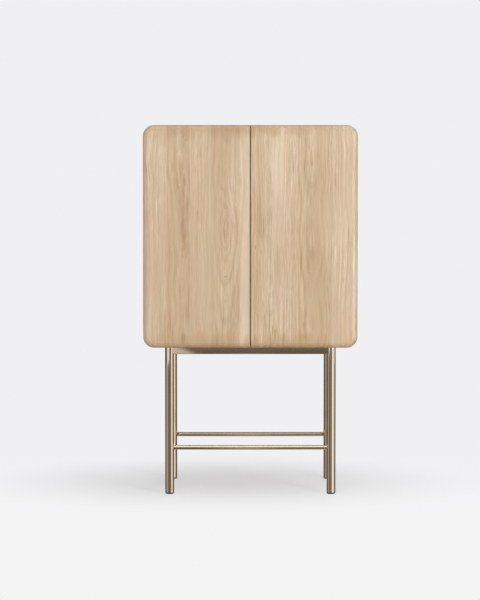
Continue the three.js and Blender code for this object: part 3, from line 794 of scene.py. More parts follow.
class Shape:
    """A mesh under construction, made by bmesh operators."""

    def __init__(self) -> None:
        """Starts an empty shape."""
        self.bm = bmesh.new()

    @classmethod
    def block(cls, low: Vector, high: Vector) -> "Shape":
        """Makes a block between two corners."""
        shape = cls()
        bmesh.ops.create_cube(shape.bm, size=1.0)
        bmesh.ops.scale(shape.bm, vec=high - low, verts=shape.bm.verts)
        bmesh.ops.translate(shape.bm, vec=(low + high) / 2, verts=shape.bm.verts)
        return shape

    @classmethod
    def turned(
        cls, profile: Sequence[Point2], axis: Axis, centre: Vector, steps: int, ring: bool = False
    ) -> "Shape":
        """Spins a profile round an axis.

        Args:
            profile: Its points, as (radius, place along the axis).
            axis: The axis of the spin.
            centre: Where the profile's zero lies.
            steps: The steps of the full turn.
            ring: Whether the profile closes on itself.

        Returns:
            The closed shape.
        """
        shape = cls()
        along = axis.vector
        out = axis.after(1).vector
        points = [shape.bm.verts.new(along * place + out * radius) for radius, place in profile]
        pairs = list(zip(points, points[1:]))
        if ring:
            pairs.append((points[-1], points[0]))
        edges = [shape.bm.edges.new(pair) for pair in pairs]
        bmesh.ops.spin(
            shape.bm,
            geom=points + edges,
            cent=(0, 0, 0),
            axis=along,
            angle=2 * math.pi,
            steps=steps,
            use_merge=True,
        )
        shape.merged()
        bmesh.ops.translate(shape.bm, vec=centre, verts=shape.bm.verts)
        return shape.turned_out()

    @classmethod
    def rod(
        cls, radius: float, ends: Point2, axis: Axis, centre: Vector, steps: int
    ) -> "Shape":
        """Makes a plain round bar.

        Args:
            radius: Its radius.
            ends: Where it starts and ends along the axis, from the centre.
            axis: The axis along it.
            centre: Where its ends are measured from.
            steps: The steps of its round.

        Returns:
            The bar.
        """
        low, high = ends
        profile = ((0.0, low), (radius, low), (radius, high), (0.0, high))
        return cls.turned(profile, axis, centre, steps)

    @classmethod
    def eased_rod(
        cls, radii: Point2, ends: Point2, ease: float, axis: Axis, centre: Vector, steps: int
    ) -> "Shape":
        """Makes a round bar or tube whose outer edges are eased.

        Args:
            radii: The radius of its bore, 0 where it is solid, and its own.
            ends: Where it starts and ends along the axis, from the centre.
            ease: The size of the ease.
            axis: The axis along it.
            centre: Where its ends are measured from.
            steps: The steps of its round.

        Returns:
            The bar or tube.
        """
        bore, radius = radii
        low, high = ends
        profile = (
            (bore, low), (radius - ease, low), (radius, low + ease), (radius, high - ease),
            (radius - ease, high), (bore, high),
        )
        return cls.turned(profile, axis, centre, steps, ring=bore > 0)

    @classmethod
    def pushed(cls, outline: Sequence[Point2], axis: Axis, low: float, high: float) -> "Shape":
        """Pushes an outline straight along an axis.

        Args:
            outline: Its points on the next two axes in turn.
            axis: The axis that it is pushed along.
            low: Where it starts.
            high: Where it ends.

        Returns:
            The closed shape.
        """
        shape = cls()
        along = axis.vector
        first = axis.after(1).vector
        second = axis.after(2).vector
        points = [shape.bm.verts.new(first * a + second * b + along * low) for a, b in outline]
        face = shape.bm.faces.new(points)
        grown = bmesh.ops.extrude_face_region(shape.bm, geom=[face])["geom"]
        moved = [item for item in grown if isinstance(item, bmesh.types.BMVert)]
        bmesh.ops.translate(shape.bm, vec=along * (high - low), verts=moved)
        return shape.turned_out()

    def turned_out(self) -> "Shape":
        """Turns every face outwards."""
        bmesh.ops.recalc_face_normals(self.bm, faces=self.bm.faces)
        return self

    def merged(self) -> "Shape":
        """Merges the points that a spin leaves on each other."""
        bmesh.ops.remove_doubles(self.bm, verts=self.bm.verts, dist=SAME_POINT)
        bmesh.ops.dissolve_degenerate(self.bm, edges=self.bm.edges, dist=SLIVER)
        return self

    def bevelled(self, test: EdgeTest, width: float, segments: int) -> "Shape":
        """Rounds the edges that pass a test."""
        bmesh.ops.bevel(
            self.bm,
            geom=[edge for edge in self.bm.edges if test(edge)],
            offset=width,
            offset_type="OFFSET",
            segments=segments,
            profile=0.5,
            affect="EDGES",
            clamp_overlap=True,
            material=-1,
        )
        return self

    def eased(self, width: float, segments: int = 2) -> "Shape":
        """Rounds every sharp edge."""
        return self.bevelled(is_sharp, width, segments)

    def joined(self, *others: "Shape") -> "Shape":
        """Takes other shapes in beside this one."""
        for other in others:
            mesh = bpy.data.meshes.new("joined")
            other.bm.to_mesh(mesh)
            other.bm.free()
            self.bm.from_mesh(mesh)
            bpy.data.meshes.remove(mesh)
        return self

    def cut_by(self, *tools: "Shape") -> "Shape":
        """Cuts other shapes, which don't meet each other, out of this one."""
        block = self._as_object("cut_block")
        blade = Shape().joined(*tools)._as_object("cut_blade")
        modifier = block.modifiers.new("cut", "BOOLEAN")
        modifier.operation = "DIFFERENCE"
        modifier.solver = "EXACT"
        modifier.object = blade
        evaluated = block.evaluated_get(bpy.context.evaluated_depsgraph_get())
        result = bpy.data.meshes.new_from_object(evaluated)
        self.bm = bmesh.new()
        self.bm.from_mesh(result)
        bpy.data.meshes.remove(result)
        for spent in (block, blade):
            mesh = spent.data
            bpy.data.objects.remove(spent)
            bpy.data.meshes.remove(mesh)
        bmesh.ops.dissolve_limit(
            self.bm, angle_limit=1e-3, verts=self.bm.verts, edges=self.bm.edges
        )
        return self

    def mesh(self, name: str) -> bpy.types.Mesh:
        """Writes the shape to a smooth mesh with its creases kept, and frees it."""
        mesh = bpy.data.meshes.new(name)
        self.bm.to_mesh(mesh)
        self.bm.free()
        mesh.shade_smooth()
        mesh.set_sharp_from_angle(angle=CREASE)
        return mesh

    def _as_object(self, name: str) -> bpy.types.Object:
        """Writes the shape to an object of its own, and frees it."""
        mesh = bpy.data.meshes.new(name)
        self.bm.to_mesh(mesh)
        self.bm.free()
        thing = bpy.data.objects.new(name, mesh)
        bpy.context.scene.collection.objects.link(thing)
        return thing


def quarter_curve(start: Point2, control: Point2, end: Point2, steps: int) -> list[Point2]:
    """Walks a quadratic curve.

    Args:
        start: Where it starts.
        control: Where its end tangents meet.
        end: Where it ends.
        steps: How many pieces it has.

    Returns:
        The points after the start, up to the end.
    """
    points = []
    for step in range(1, steps + 1):
        share = step / steps
        points.append(
            tuple(
                (1 - share) ** 2 * a + 2 * share * (1 - share) * b + share**2 * c
                for a, b, c in zip(start, control, end)
            )
        )
    return points


def arc(centre: Point2, radius: float, start: float, end: float, steps: int) -> list[Point2]:
    """Walks an arc from one angle to another, both ends included."""
    return [
        (
            centre[0] + radius * math.cos(start + (end - start) * step / steps),
            centre[1] + radius * math.sin(start + (end - start) * step / steps),
        )
        for step in range(steps + 1)
    ]


def rounded_box(centre: Point2, width: float, height: float, radius: float) -> list[Point2]:
    """Walks a rectangle with rounded corners."""
    x = width / 2 - radius
    y = height / 2 - radius
    points = []
    for turn, (sx, sy) in enumerate(((1, 1), (-1, 1), (-1, -1), (1, -1))):
        middle = (centre[0] + sx * x, centre[1] + sy * y)
        points += arc(middle, radius, turn * QUARTER, (turn + 1) * QUARTER, 6)
    return points


def axis_point(low: Vector, high: Vector, axis: Axis) -> Vector:
    """Gives the middle of a box, but with zero along an axis.

    Args:
        low: The box's lowest corner.
        high: Its highest corner.
        axis: The axis.

    Returns:
        The point.
    """
    middle = [(a + b) / 2 for a, b in zip(low, high)]
    middle[axis.value] = 0.0
    return Vector(middle)


class Workshop:
    """Turns shapes into pieces that ride on the frame's bodies."""

    grain_step = Vector((0.37, 0.0, 0.83))

    def __init__(self, frame: dict) -> None:
        """Builds the finishes and learns which body carries each node."""
        self.nodes = frame["nodes"]
        bodies = frame["record"]["behaviour"]["bodies"]
        self.body_of = {node: body for body, members in bodies.items() for node in members}
        self.materials = {finish: finish.value.material() for finish in Finish}
        self.made = 0

    def add(
        self,
        name: str,
        shape: Shape,
        finish: Finish,
        node: str,
        grain: "Run | GrainRule | None" = None,
    ) -> bpy.types.Object:
        """Makes a piece of a shape, beside the node whose body carries it.

        Args:
            name: The piece's name.
            shape: Its shape, in place.
            finish: Its finish.
            node: The node whose body carries it.
            grain: Which way its fibres run, where it is wood.

        Returns:
            The piece.
        """
        mesh = shape.mesh(name)
        if grain is not None:
            self._lay_grain(mesh, grain)
        mesh.materials.append(self.materials[finish])
        piece = bpy.data.objects.new(name, mesh)
        bpy.context.scene.collection.objects.link(piece)
        normals = piece.modifiers.new("flat_faces", "WEIGHTED_NORMAL")
        normals.keep_sharp = True
        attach(piece, self.body_of[node])
        self.made += 1
        LOG.info("%s rides on %s", name, self.body_of[node])
        return piece

    def place(
        self,
        name: str,
        shape: Shape,
        finish: Finish,
        node: str,
        grain: "Run | GrainRule | None" = None,
    ) -> None:
        """Makes a piece in the place of a node, with what add takes."""
        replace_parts(self.add(name, shape, finish, node, grain), node)

    def screws(self, node: str, screws: "Screws", places: Sequence[Vector], facing: Vector) -> None:
        """Adds the screws of a node.

        Args:
            node: The node.
            screws: The kind of screw, with its finish.
            places: The middle of each head, on the surface.
            facing: The way that the heads face, along an axis.
        """
        self.add(f"{node}_screws", screws.shape(places, facing), screws.finish, node)

    def board(self, node: str, grain: "Run | GrainRule") -> None:
        """Makes a board with eased edges in the place of a node."""
        shape = Shape.block(*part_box(node)).eased(WOOD_ARRIS)
        self.place(f"{node}_board", shape, Finish.OAK_INSIDE, node, grain)

    def dress(self, node: str, finish: Finish) -> None:
        """Gives a node, kept as it is, its finish."""
        mesh = self.nodes[node].data
        mesh.materials.clear()
        mesh.materials.append(self.materials[finish])
        LOG.info("%s takes %s", node, finish.value.name)

    def _lay_grain(self, mesh: bpy.types.Mesh, grain: "Run | GrainRule") -> None:
        """Writes where each point of a mesh lies in its board: across, deep and along."""
        shift = self.grain_step * self.made
        layer = mesh.attributes.new(GRAIN, "FLOAT_VECTOR", "POINT")
        for vertex, item in zip(mesh.vertices, layer.data):
            if isinstance(grain, Run):
                place = Vector([vertex.co[axis] for axis in grain.value]) + shift
            else:
                place = grain(vertex.co)
            item.vector = place


class Side(Enum):
    """The two sides of the cabinet, by the sign of X."""

    LEFT = -1
    RIGHT = 1

    @property
    def label(self) -> str:
        """The side's name."""
        return self.name.lower()


@dataclass
class Screws:
    """A group of countersunk screws with a round recess."""

    finish: Finish = Finish.NICKEL
    radius: float = 0.0032
    proud: float = 0.0004
    slot_width: float = 0.0007
    slot_length: float = 0.0036
    slot_depth: float = 0.0003
    steps: int = 16

    def shape(self, places: Sequence[Vector], facing: Vector) -> Shape:
        """Makes a screw head at each place.

        Args:
            places: The middle of each head, on the surface.
            facing: The way that the heads face, along an axis.

        Returns:
            The heads as one shape.
        """
        axis = max(Axis, key=lambda each: abs(facing[each.value]))
        sign = 1.0 if facing[axis.value] > 0 else -1.0
        profile = (
            (0.0, -self.proud * sign), (self.radius, -self.proud * sign),
            (self.radius, self.proud * 0.4 * sign), (self.radius * 0.9, self.proud * sign),
            (self.slot_length / 2, self.proud * sign),
            (self.slot_width, (self.proud - self.slot_depth) * sign),
            (0.0, (self.proud - self.slot_depth * 1.4) * sign),
        )
        heads = [Shape.turned(profile, axis, place, self.steps) for place in places]
        return Shape().joined(*heads)


@dataclass
class Door:
    """One overlay door: a slab with a soft front edge and its two cup bores."""

    side: Side
    corner: float = 0.045
    front_round: float = 0.024
    back_round: float = 0.0038
    arris: float = 0.0007
    bore_radius: float = 0.0203
    bore_depth: float = 0.0168

    def build(self, shop: Workshop) -> None:
        """Makes the door."""
        node = f"door_{self.side.label}"
        low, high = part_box(node)
        outer, gap = (low.x, high.x) if self.side is Side.LEFT else (high.x, low.x)
        shape = Shape.block(low, high)
        shape.bevelled(
            lambda edge: runs_along(edge, Axis.Y) and lies_at(edge, Axis.X, outer), self.corner, 24
        )
        for face, ease, steps in ((low.y, self.front_round, 14), (high.y, self.back_round, 4)):
            shape.bevelled(
                lambda edge: lies_at(edge, Axis.Y, face) and not lies_at(edge, Axis.X, gap),
                ease,
                steps,
            )
        shape.bevelled(lambda edge: lies_at(edge, Axis.X, gap), self.arris, 2)
        shape.cut_by(*[self._bore(level, high.y) for level in ("lower", "upper")])
        shop.place(f"{node}_slab", shape, Finish.OAK_FRONT, node, self._grain(low.y))

    def _bore(self, level: str, back: float) -> Shape:
        """Makes the cutter of a cup bore."""
        low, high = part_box(f"hinge_cup_{level}_{self.side.label}")
        centre = Vector(((low.x + high.x) / 2, back, (low.z + high.z) / 2))
        ends = (-self.bore_depth, self.bore_depth)
        return Shape.rod(self.bore_radius, ends, Axis.Y, centre, 48)

    @staticmethod
    def _grain(front: float) -> GrainRule:
        """Gives the rule of the door's fibres, which run upright from its front face."""
        return lambda place: Vector((place.x, place.y - front, place.z))


@dataclass
class ShellGrain:
    """Fibres that run round the box, over its corners, as a folded veneer's do."""

    corner: float

    @staticmethod
    def flat(start: float, around: tuple[Axis, float], outer: tuple[Axis, float]) -> GrainRule:
        """Gives the rule of a flat panel.

        Args:
            start: How far round the box the panel starts.
            around: The axis that runs round the box there, and where the panel starts on it.
            outer: The axis through its thickness, and where its outer face lies.

        Returns:
            The rule.
        """

        def rule(place: Vector) -> Vector:
            """Unrolls one place of the panel."""
            depth = abs(place[outer[0].value] - outer[1])
            return Vector((place.y, depth, start + abs(place[around[0].value] - around[1])))

        return rule

    def bent(self, start: float, centre: Point2, first_angle: float) -> GrainRule:
        """Gives the rule of a corner post.

        Args:
            start: How far round the box the corner starts.
            centre: The middle of its round, as (x, z).
            first_angle: The angle at which it starts.

        Returns:
            The rule.
        """

        def rule(place: Vector) -> Vector:
            """Unrolls one place of the corner."""
            x = place.x - centre[0]
            z = place.z - centre[1]
            turn = (math.atan2(z, x) - first_angle + math.pi) % (2 * math.pi) - math.pi
            turn = min(max(turn, 0.0), QUARTER)
            return Vector((place.y, self.corner - math.hypot(x, z), start + self.corner * turn))

        return rule


@dataclass
class Carcass:
    """The box behind the doors: four panels, four rounded corners and a recessed back."""

    corner: float = 0.045
    corner_steps: int = 24
    screw_inset: float = 0.012
    screws_across: int = 5
    screws_up: int = 6

    def build(self, shop: Workshop) -> None:
        """Makes the carcass."""
        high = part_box("top_panel")[1]
        side_low, side_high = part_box("right_panel")
        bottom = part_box("bottom_panel")[0].z
        grain = ShellGrain(self.corner)
        x, face = high.x, side_high.x
        wide, tall = 2 * high.x, side_high.z - side_low.z
        bend = self.corner * QUARTER
        panels = (
            ("bottom", 0.0, (Axis.X, -x), (Axis.Z, bottom)),
            ("right", wide + bend, (Axis.Z, side_low.z), (Axis.X, face)),
            ("top", wide + tall + 2 * bend, (Axis.X, x), (Axis.Z, high.z)),
            ("left", 2 * wide + tall + 3 * bend, (Axis.Z, side_high.z), (Axis.X, -face)),
        )
        for name, start, around, outer in panels:
            self._panel(shop, f"{name}_panel", around[0], grain.flat(start, around, outer))
        posts = (
            ("bottom_right", wide, x, side_low.z),
            ("top_right", wide + bend + tall, x, side_high.z),
            ("top_left", 2 * wide + 2 * bend + tall, -x, side_high.z),
            ("bottom_left", 2 * (wide + tall) + 3 * bend, -x, side_low.z),
        )
        for turn, (name, start, x, z) in enumerate(posts):
            angle = (turn - 1) * QUARTER
            self._post(shop, f"corner_{name}", (x, z), angle, grain.bent(start, (x, z), angle))
        self._back(shop)

    @staticmethod
    def _panel(shop: Workshop, node: str, along: Axis, rule: GrainRule) -> None:
        """Makes one flat panel, eased on its long edges alone, where it meets no corner."""
        low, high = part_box(node)
        shape = Shape.block(low, high)
        shape.bevelled(lambda edge: runs_along(edge, along), WOOD_ARRIS, 2)
        if node == "left_panel":
            shape.cut_by(*PegHoles("left", high.x).cutters())
        shop.place(f"{node}_board", shape, Finish.OAK_CARCASS, node, rule)

    def _post(
        self, shop: Workshop, node: str, centre: Point2, angle: float, rule: GrainRule
    ) -> None:
        """Makes one rounded corner by spinning its flat side through a quarter turn.

        Args:
            shop: The workshop.
            node: The post's node.
            centre: The middle of its round, as (x, z).
            angle: The angle at which it starts.
            rule: The rule of its fibres.
        """
        low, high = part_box(node)
        shape = Shape()
        out = Vector((math.cos(angle), 0.0, math.sin(angle))) * self.corner
        hub = Vector((centre[0], 0.0, centre[1]))
        front, rear = Vector((0.0, low.y, 0.0)), Vector((0.0, high.y, 0.0))
        section = (hub + front, hub + out + front, hub + out + rear, hub + rear)
        face = shape.bm.faces.new([shape.bm.verts.new(corner) for corner in section])
        bmesh.ops.spin(
            shape.bm,
            geom=[face, *face.edges, *face.verts],
            cent=hub,
            axis=(0.0, -1.0, 0.0),
            angle=QUARTER,
            steps=self.corner_steps,
            use_merge=False,
        )
        shape.merged().turned_out()
        open_edges = [edge for edge in shape.bm.edges if len(edge.link_faces) == 1]
        if open_edges:
            bmesh.ops.holes_fill(shape.bm, edges=open_edges, sides=0)
            shape.turned_out()
        shop.place(f"{node}_round", shape, Finish.OAK_CARCASS, node, rule)

    def _back(self, shop: Workshop) -> None:
        """Makes the back panel, notched round the corner posts, and its screws."""
        node = "back_panel"
        low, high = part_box(node)
        side_low, side_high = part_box("right_panel")
        fit = low.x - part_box("left_panel")[1].x
        notch_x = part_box("top_panel")[1].x - fit
        notch_low, notch_high = side_low.z + fit, side_high.z - fit
        notches = [(notch_low, notch_x), (notch_low, high.x), (notch_high, high.x)]
        notches += [(notch_high, notch_x), (high.z, notch_x)]
        outline = [(low.z, -notch_x), (low.z, notch_x), *notches]
        outline += [(z, -x) for z, x in reversed(notches)]
        shape = Shape.pushed(outline, Axis.Y, low.y, high.y).eased(WOOD_ARRIS / 2, 1)
        shop.place(f"{node}_board", shape, Finish.OAK_INSIDE, node, Run.UPRIGHT)
        inset = self.screw_inset
        row_x = spread(-notch_x + inset, notch_x - inset, self.screws_across)
        row_z = spread(notch_low + inset, notch_high - inset, self.screws_up)
        places = [(x, z) for x in row_x for z in (low.z + inset, high.z - inset)]
        places += [(x, z) for z in row_z for x in (low.x + inset, high.x - inset)]
        heads = [Vector((x, high.y, z)) for x, z in places]
        shop.screws(node, Screws(), heads, Axis.Y.vector)


def spread(first: float, last: float, count: int) -> list[float]:
    """Spreads places evenly from the first to the last."""
    return [first + (last - first) * step / (count - 1) for step in range(count)]


@dataclass
class PegHoles:
    """The rows of peg holes in one wall."""

    wall: str
    face: float
    radius: float = 0.0028
    depth: float = 0.0103
    pitch: float = 0.064

    def cutters(self) -> list[Shape]:
        """Makes one cutter for each hole, above and below each peg and behind it."""
        cutters = []
        for end in ("front", "rear"):
            low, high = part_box(f"shelf_peg_{end}_{self.wall}")
            y, z = (low.y + high.y) / 2, (low.z + high.z) / 2
            for row in (-1, 0, 1):
                centre = Vector((self.face, y, z + row * self.pitch))
                ends = (-self.depth, self.depth)
                cutters.append(Shape.rod(self.radius, ends, Axis.X, centre, 20))
        return cutters


@dataclass
class Interior:
    """Shelves, dividers and pegs inside the box."""

    peg_steps: int = 24

    def build(self, shop: Workshop) -> None:
        """Makes the inside."""
        shop.board("middle_shelf", Run.SIDEWAYS)
        shop.board("loose_shelf", Run.SIDEWAYS)
        shop.board("lower_divider", Run.UPRIGHT_SIDE)
        node = "upper_divider"
        low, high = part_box(node)
        shape = Shape.block(low, high).eased(WOOD_ARRIS)
        shape.cut_by(*PegHoles("right", low.x).cutters())
        shop.place(f"{node}_board", shape, Finish.OAK_INSIDE, node, Run.UPRIGHT_SIDE)
        for end in ("front", "rear"):
            for wall in ("left", "right"):
                self._peg(shop, f"shelf_peg_{end}_{wall}")

    def _peg(self, shop: Workshop, node: str) -> None:
        """Makes one shelf peg with rounded ends."""
        low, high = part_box(node)
        radii = (0.0, (high.z - low.z) / 2)
        half = (high.x - low.x) / 2
        middle = (low + high) / 2
        shape = Shape.eased_rod(radii, (-half, half), METAL_EASE, Axis.X, middle, self.peg_steps)
        shop.place(f"{node}_pin", shape, Finish.BRASS, node)


@dataclass
class StemwareRack:
    """The slotted rack for stemmed glasses: a board over five hanging runners."""

    channels: int = 4
    board: float = 0.012
    web: float = 0.012
    foot_room: float = 0.024
    stem_gap: float = 0.026
    arris: float = 0.0008

    def build(self, shop: Workshop) -> None:
        """Makes the rack."""
        node = "stemware_rack"
        low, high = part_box(node)
        under = high.z - self.board
        board = Shape.block(Vector((low.x, low.y, under)), high).eased(self.arris)
        shop.place("stemware_board", board, Finish.OAK_INSIDE, node, Run.DEEP)
        pitch = (high.x - low.x - self.web) / self.channels
        reach = (pitch - self.stem_gap) / 2
        for place in range(self.channels + 1):
            middle = low.x + self.web / 2 + place * pitch
            left = middle - self.web / 2 if place == 0 else middle - reach
            right = middle + self.web / 2 if place == self.channels else middle + reach
            outline = self._runner(middle, (left, right), low.z, under)
            shape = Shape.pushed(outline, Axis.Y, low.y, high.y).eased(self.arris)
            name = f"stemware_runner_{place + 1}"
            shop.place(name, shape, Finish.OAK_INSIDE, node, Run.DEEP)

    def _runner(self, middle: float, flange: Point2, foot: float, top: float) -> list[Point2]:
        """Walks a runner's section, as (z, x) points.

        Args:
            middle: The middle of its web.
            flange: The left and the right end of its flange.
            foot: The underside of its flange.
            top: The top of its web.

        Returns:
            The outline, without repeats where a flange ends at the web.
        """
        shoulder = top - self.foot_room
        half = self.web / 2
        left, right = flange
        points = [
            (top, middle - half), (shoulder, middle - half), (shoulder, left), (foot, left),
            (foot, right), (shoulder, right), (shoulder, middle + half), (top, middle + half),
        ]
        kept = []
        for point in points:
            if not kept or math.dist(point, kept[-1]) > SAME_POINT:
                kept.append(point)
        return kept


@dataclass
class LegFrame:
    """Four round legs with glides, coped square rails and two round stretchers."""

    wall: float = 0.002
    rail_round: float = 0.002
    leg_steps: int = 72
    glide_round: float = 0.002
    glide_thickness: float = 0.006
    stretcher_wall: float = 0.0015
    stretcher_steps: int = 48
    cope_cuts: int = 11

    def build(self, shop: Workshop) -> None:
        """Makes the leg frame."""
        for end in ("front", "rear"):
            for side in Side:
                self._leg(shop, f"{end}_{side.label}")
                self._glide(shop, f"{end}_{side.label}")
            self._rail(shop, f"rail_{end}", Axis.X, Axis.Y, 0.0)
            self._stretcher(shop, f"stretcher_{end}")
        low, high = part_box("rail_front")
        for side in Side:
            self._rail(shop, f"rail_{side.label}", Axis.Y, Axis.X, (high.y - low.y) / 2 + FIT)

    def _leg(self, shop: Workshop, place: str) -> None:
        """Makes one leg tube."""
        node = f"leg_{place}"
        low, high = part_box(node)
        outer = (high.x - low.x) / 2
        radii = (outer - self.wall, outer)
        centre = axis_point(low, high, Axis.Z)
        ends = (low.z, high.z)
        shape = Shape.eased_rod(radii, ends, self.wall / 6, Axis.Z, centre, self.leg_steps)
        shop.place(f"{node}_tube", shape, Finish.CHAMPAGNE, node)

    def _glide(self, shop: Workshop, place: str) -> None:
        """Makes one foot glide with its spigot in the tube."""
        node = f"glide_{place}"
        low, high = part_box(node)
        radius = (high.x - low.x) / 2
        spigot = self._leg_radius(place) - self.wall - FIT
        turn = (radius - self.glide_round, self.glide_round)
        profile = [
            (0.0, low.z),
            *arc(turn, self.glide_round, -QUARTER, 0.0, 5),
            (radius, self.glide_thickness), (spigot, self.glide_thickness), (spigot, high.z),
            (0.0, high.z),
        ]
        shape = Shape.turned(profile, Axis.Z, axis_point(low, high, Axis.Z), self.leg_steps)
        shop.place(f"{node}_foot", shape, Finish.GLIDE, node)

    @staticmethod
    def _leg_radius(place: str = "front_left") -> float:
        """Gives the radius of a leg."""
        low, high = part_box(f"leg_{place}")
        return (high.x - low.x) / 2

    def _span(self, node: str, axis: Axis) -> tuple[Vector, Vector]:
        """Gives a bar's corners, with its ends moved to the middles of the legs that it meets."""
        low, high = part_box(node)
        low[axis.value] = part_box("leg_front_left")[0][axis.value] + self._leg_radius()
        high[axis.value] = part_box("leg_rear_right")[1][axis.value] - self._leg_radius()
        return low, high

    def _cope(
        self, shape: Shape, axes: tuple[Axis, Axis], low: Vector, high: Vector, least: float
    ) -> None:
        """Pulls both ends of a bar back to the round of the legs that they meet.

        Args:
            shape: The bar, whose ends reach the legs' middles.
            axes: The axis along the bar, and the level one across it.
            low: The lowest corner between the legs' middles.
            high: The highest corner between the legs' middles.
            least: The least that an end keeps from a leg's middle.
        """
        axis, across = (each.value for each in axes)
        radius = self._leg_radius() + FIT
        middle = (low[across] + high[across]) / 2
        for vertex in shape.bm.verts:
            offset = vertex.co[across] - middle
            back = max(math.sqrt(max(radius**2 - offset**2, 0.0)), least)
            for end, sign in ((low[axis], 1), (high[axis], -1)):
                if abs(vertex.co[axis] - end) < self.rail_round:
                    vertex.co[axis] = end + sign * back

    def _rail(self, shop: Workshop, node: str, axis: Axis, across: Axis, least: float) -> None:
        """Makes a coped square rail between two legs.

        Args:
            shop: The workshop.
            node: The rail's node.
            axis: The axis along it.
            across: The level axis across it.
            least: The least that an end keeps from a leg's middle, where it meets other rails.
        """
        low, high = self._span(node, axis)
        shape = Shape.block(low, high)
        shape.bevelled(lambda edge: runs_along(edge, axis), self.rail_round, 4)
        cross = [
            edge
            for edge in shape.bm.edges
            if runs_along(edge, across) and edge.calc_length() > self.rail_round
        ]
        bmesh.ops.subdivide_edges(
            shape.bm, edges=cross, cuts=self.cope_cuts, use_grid_fill=True
        )
        self._cope(shape, (axis, across), low, high, least)
        shop.place(f"{node}_tube", shape, Finish.CHAMPAGNE, node)

    def _stretcher(self, shop: Workshop, node: str) -> None:
        """Makes one round stretcher, coped to the legs."""
        low, high = self._span(node, Axis.X)
        radius = (high.z - low.z) / 2
        inner = radius - self.stretcher_wall
        profile = ((inner, low.x), (radius, low.x), (radius, high.x), (inner, high.x))
        centre = axis_point(low, high, Axis.X)
        shape = Shape.turned(profile, Axis.X, centre, self.stretcher_steps, ring=True)
        self._cope(shape, (Axis.X, Axis.Y), low, high, 0.0)
        shop.place(f"{node}_tube", shape, Finish.CHAMPAGNE, node)


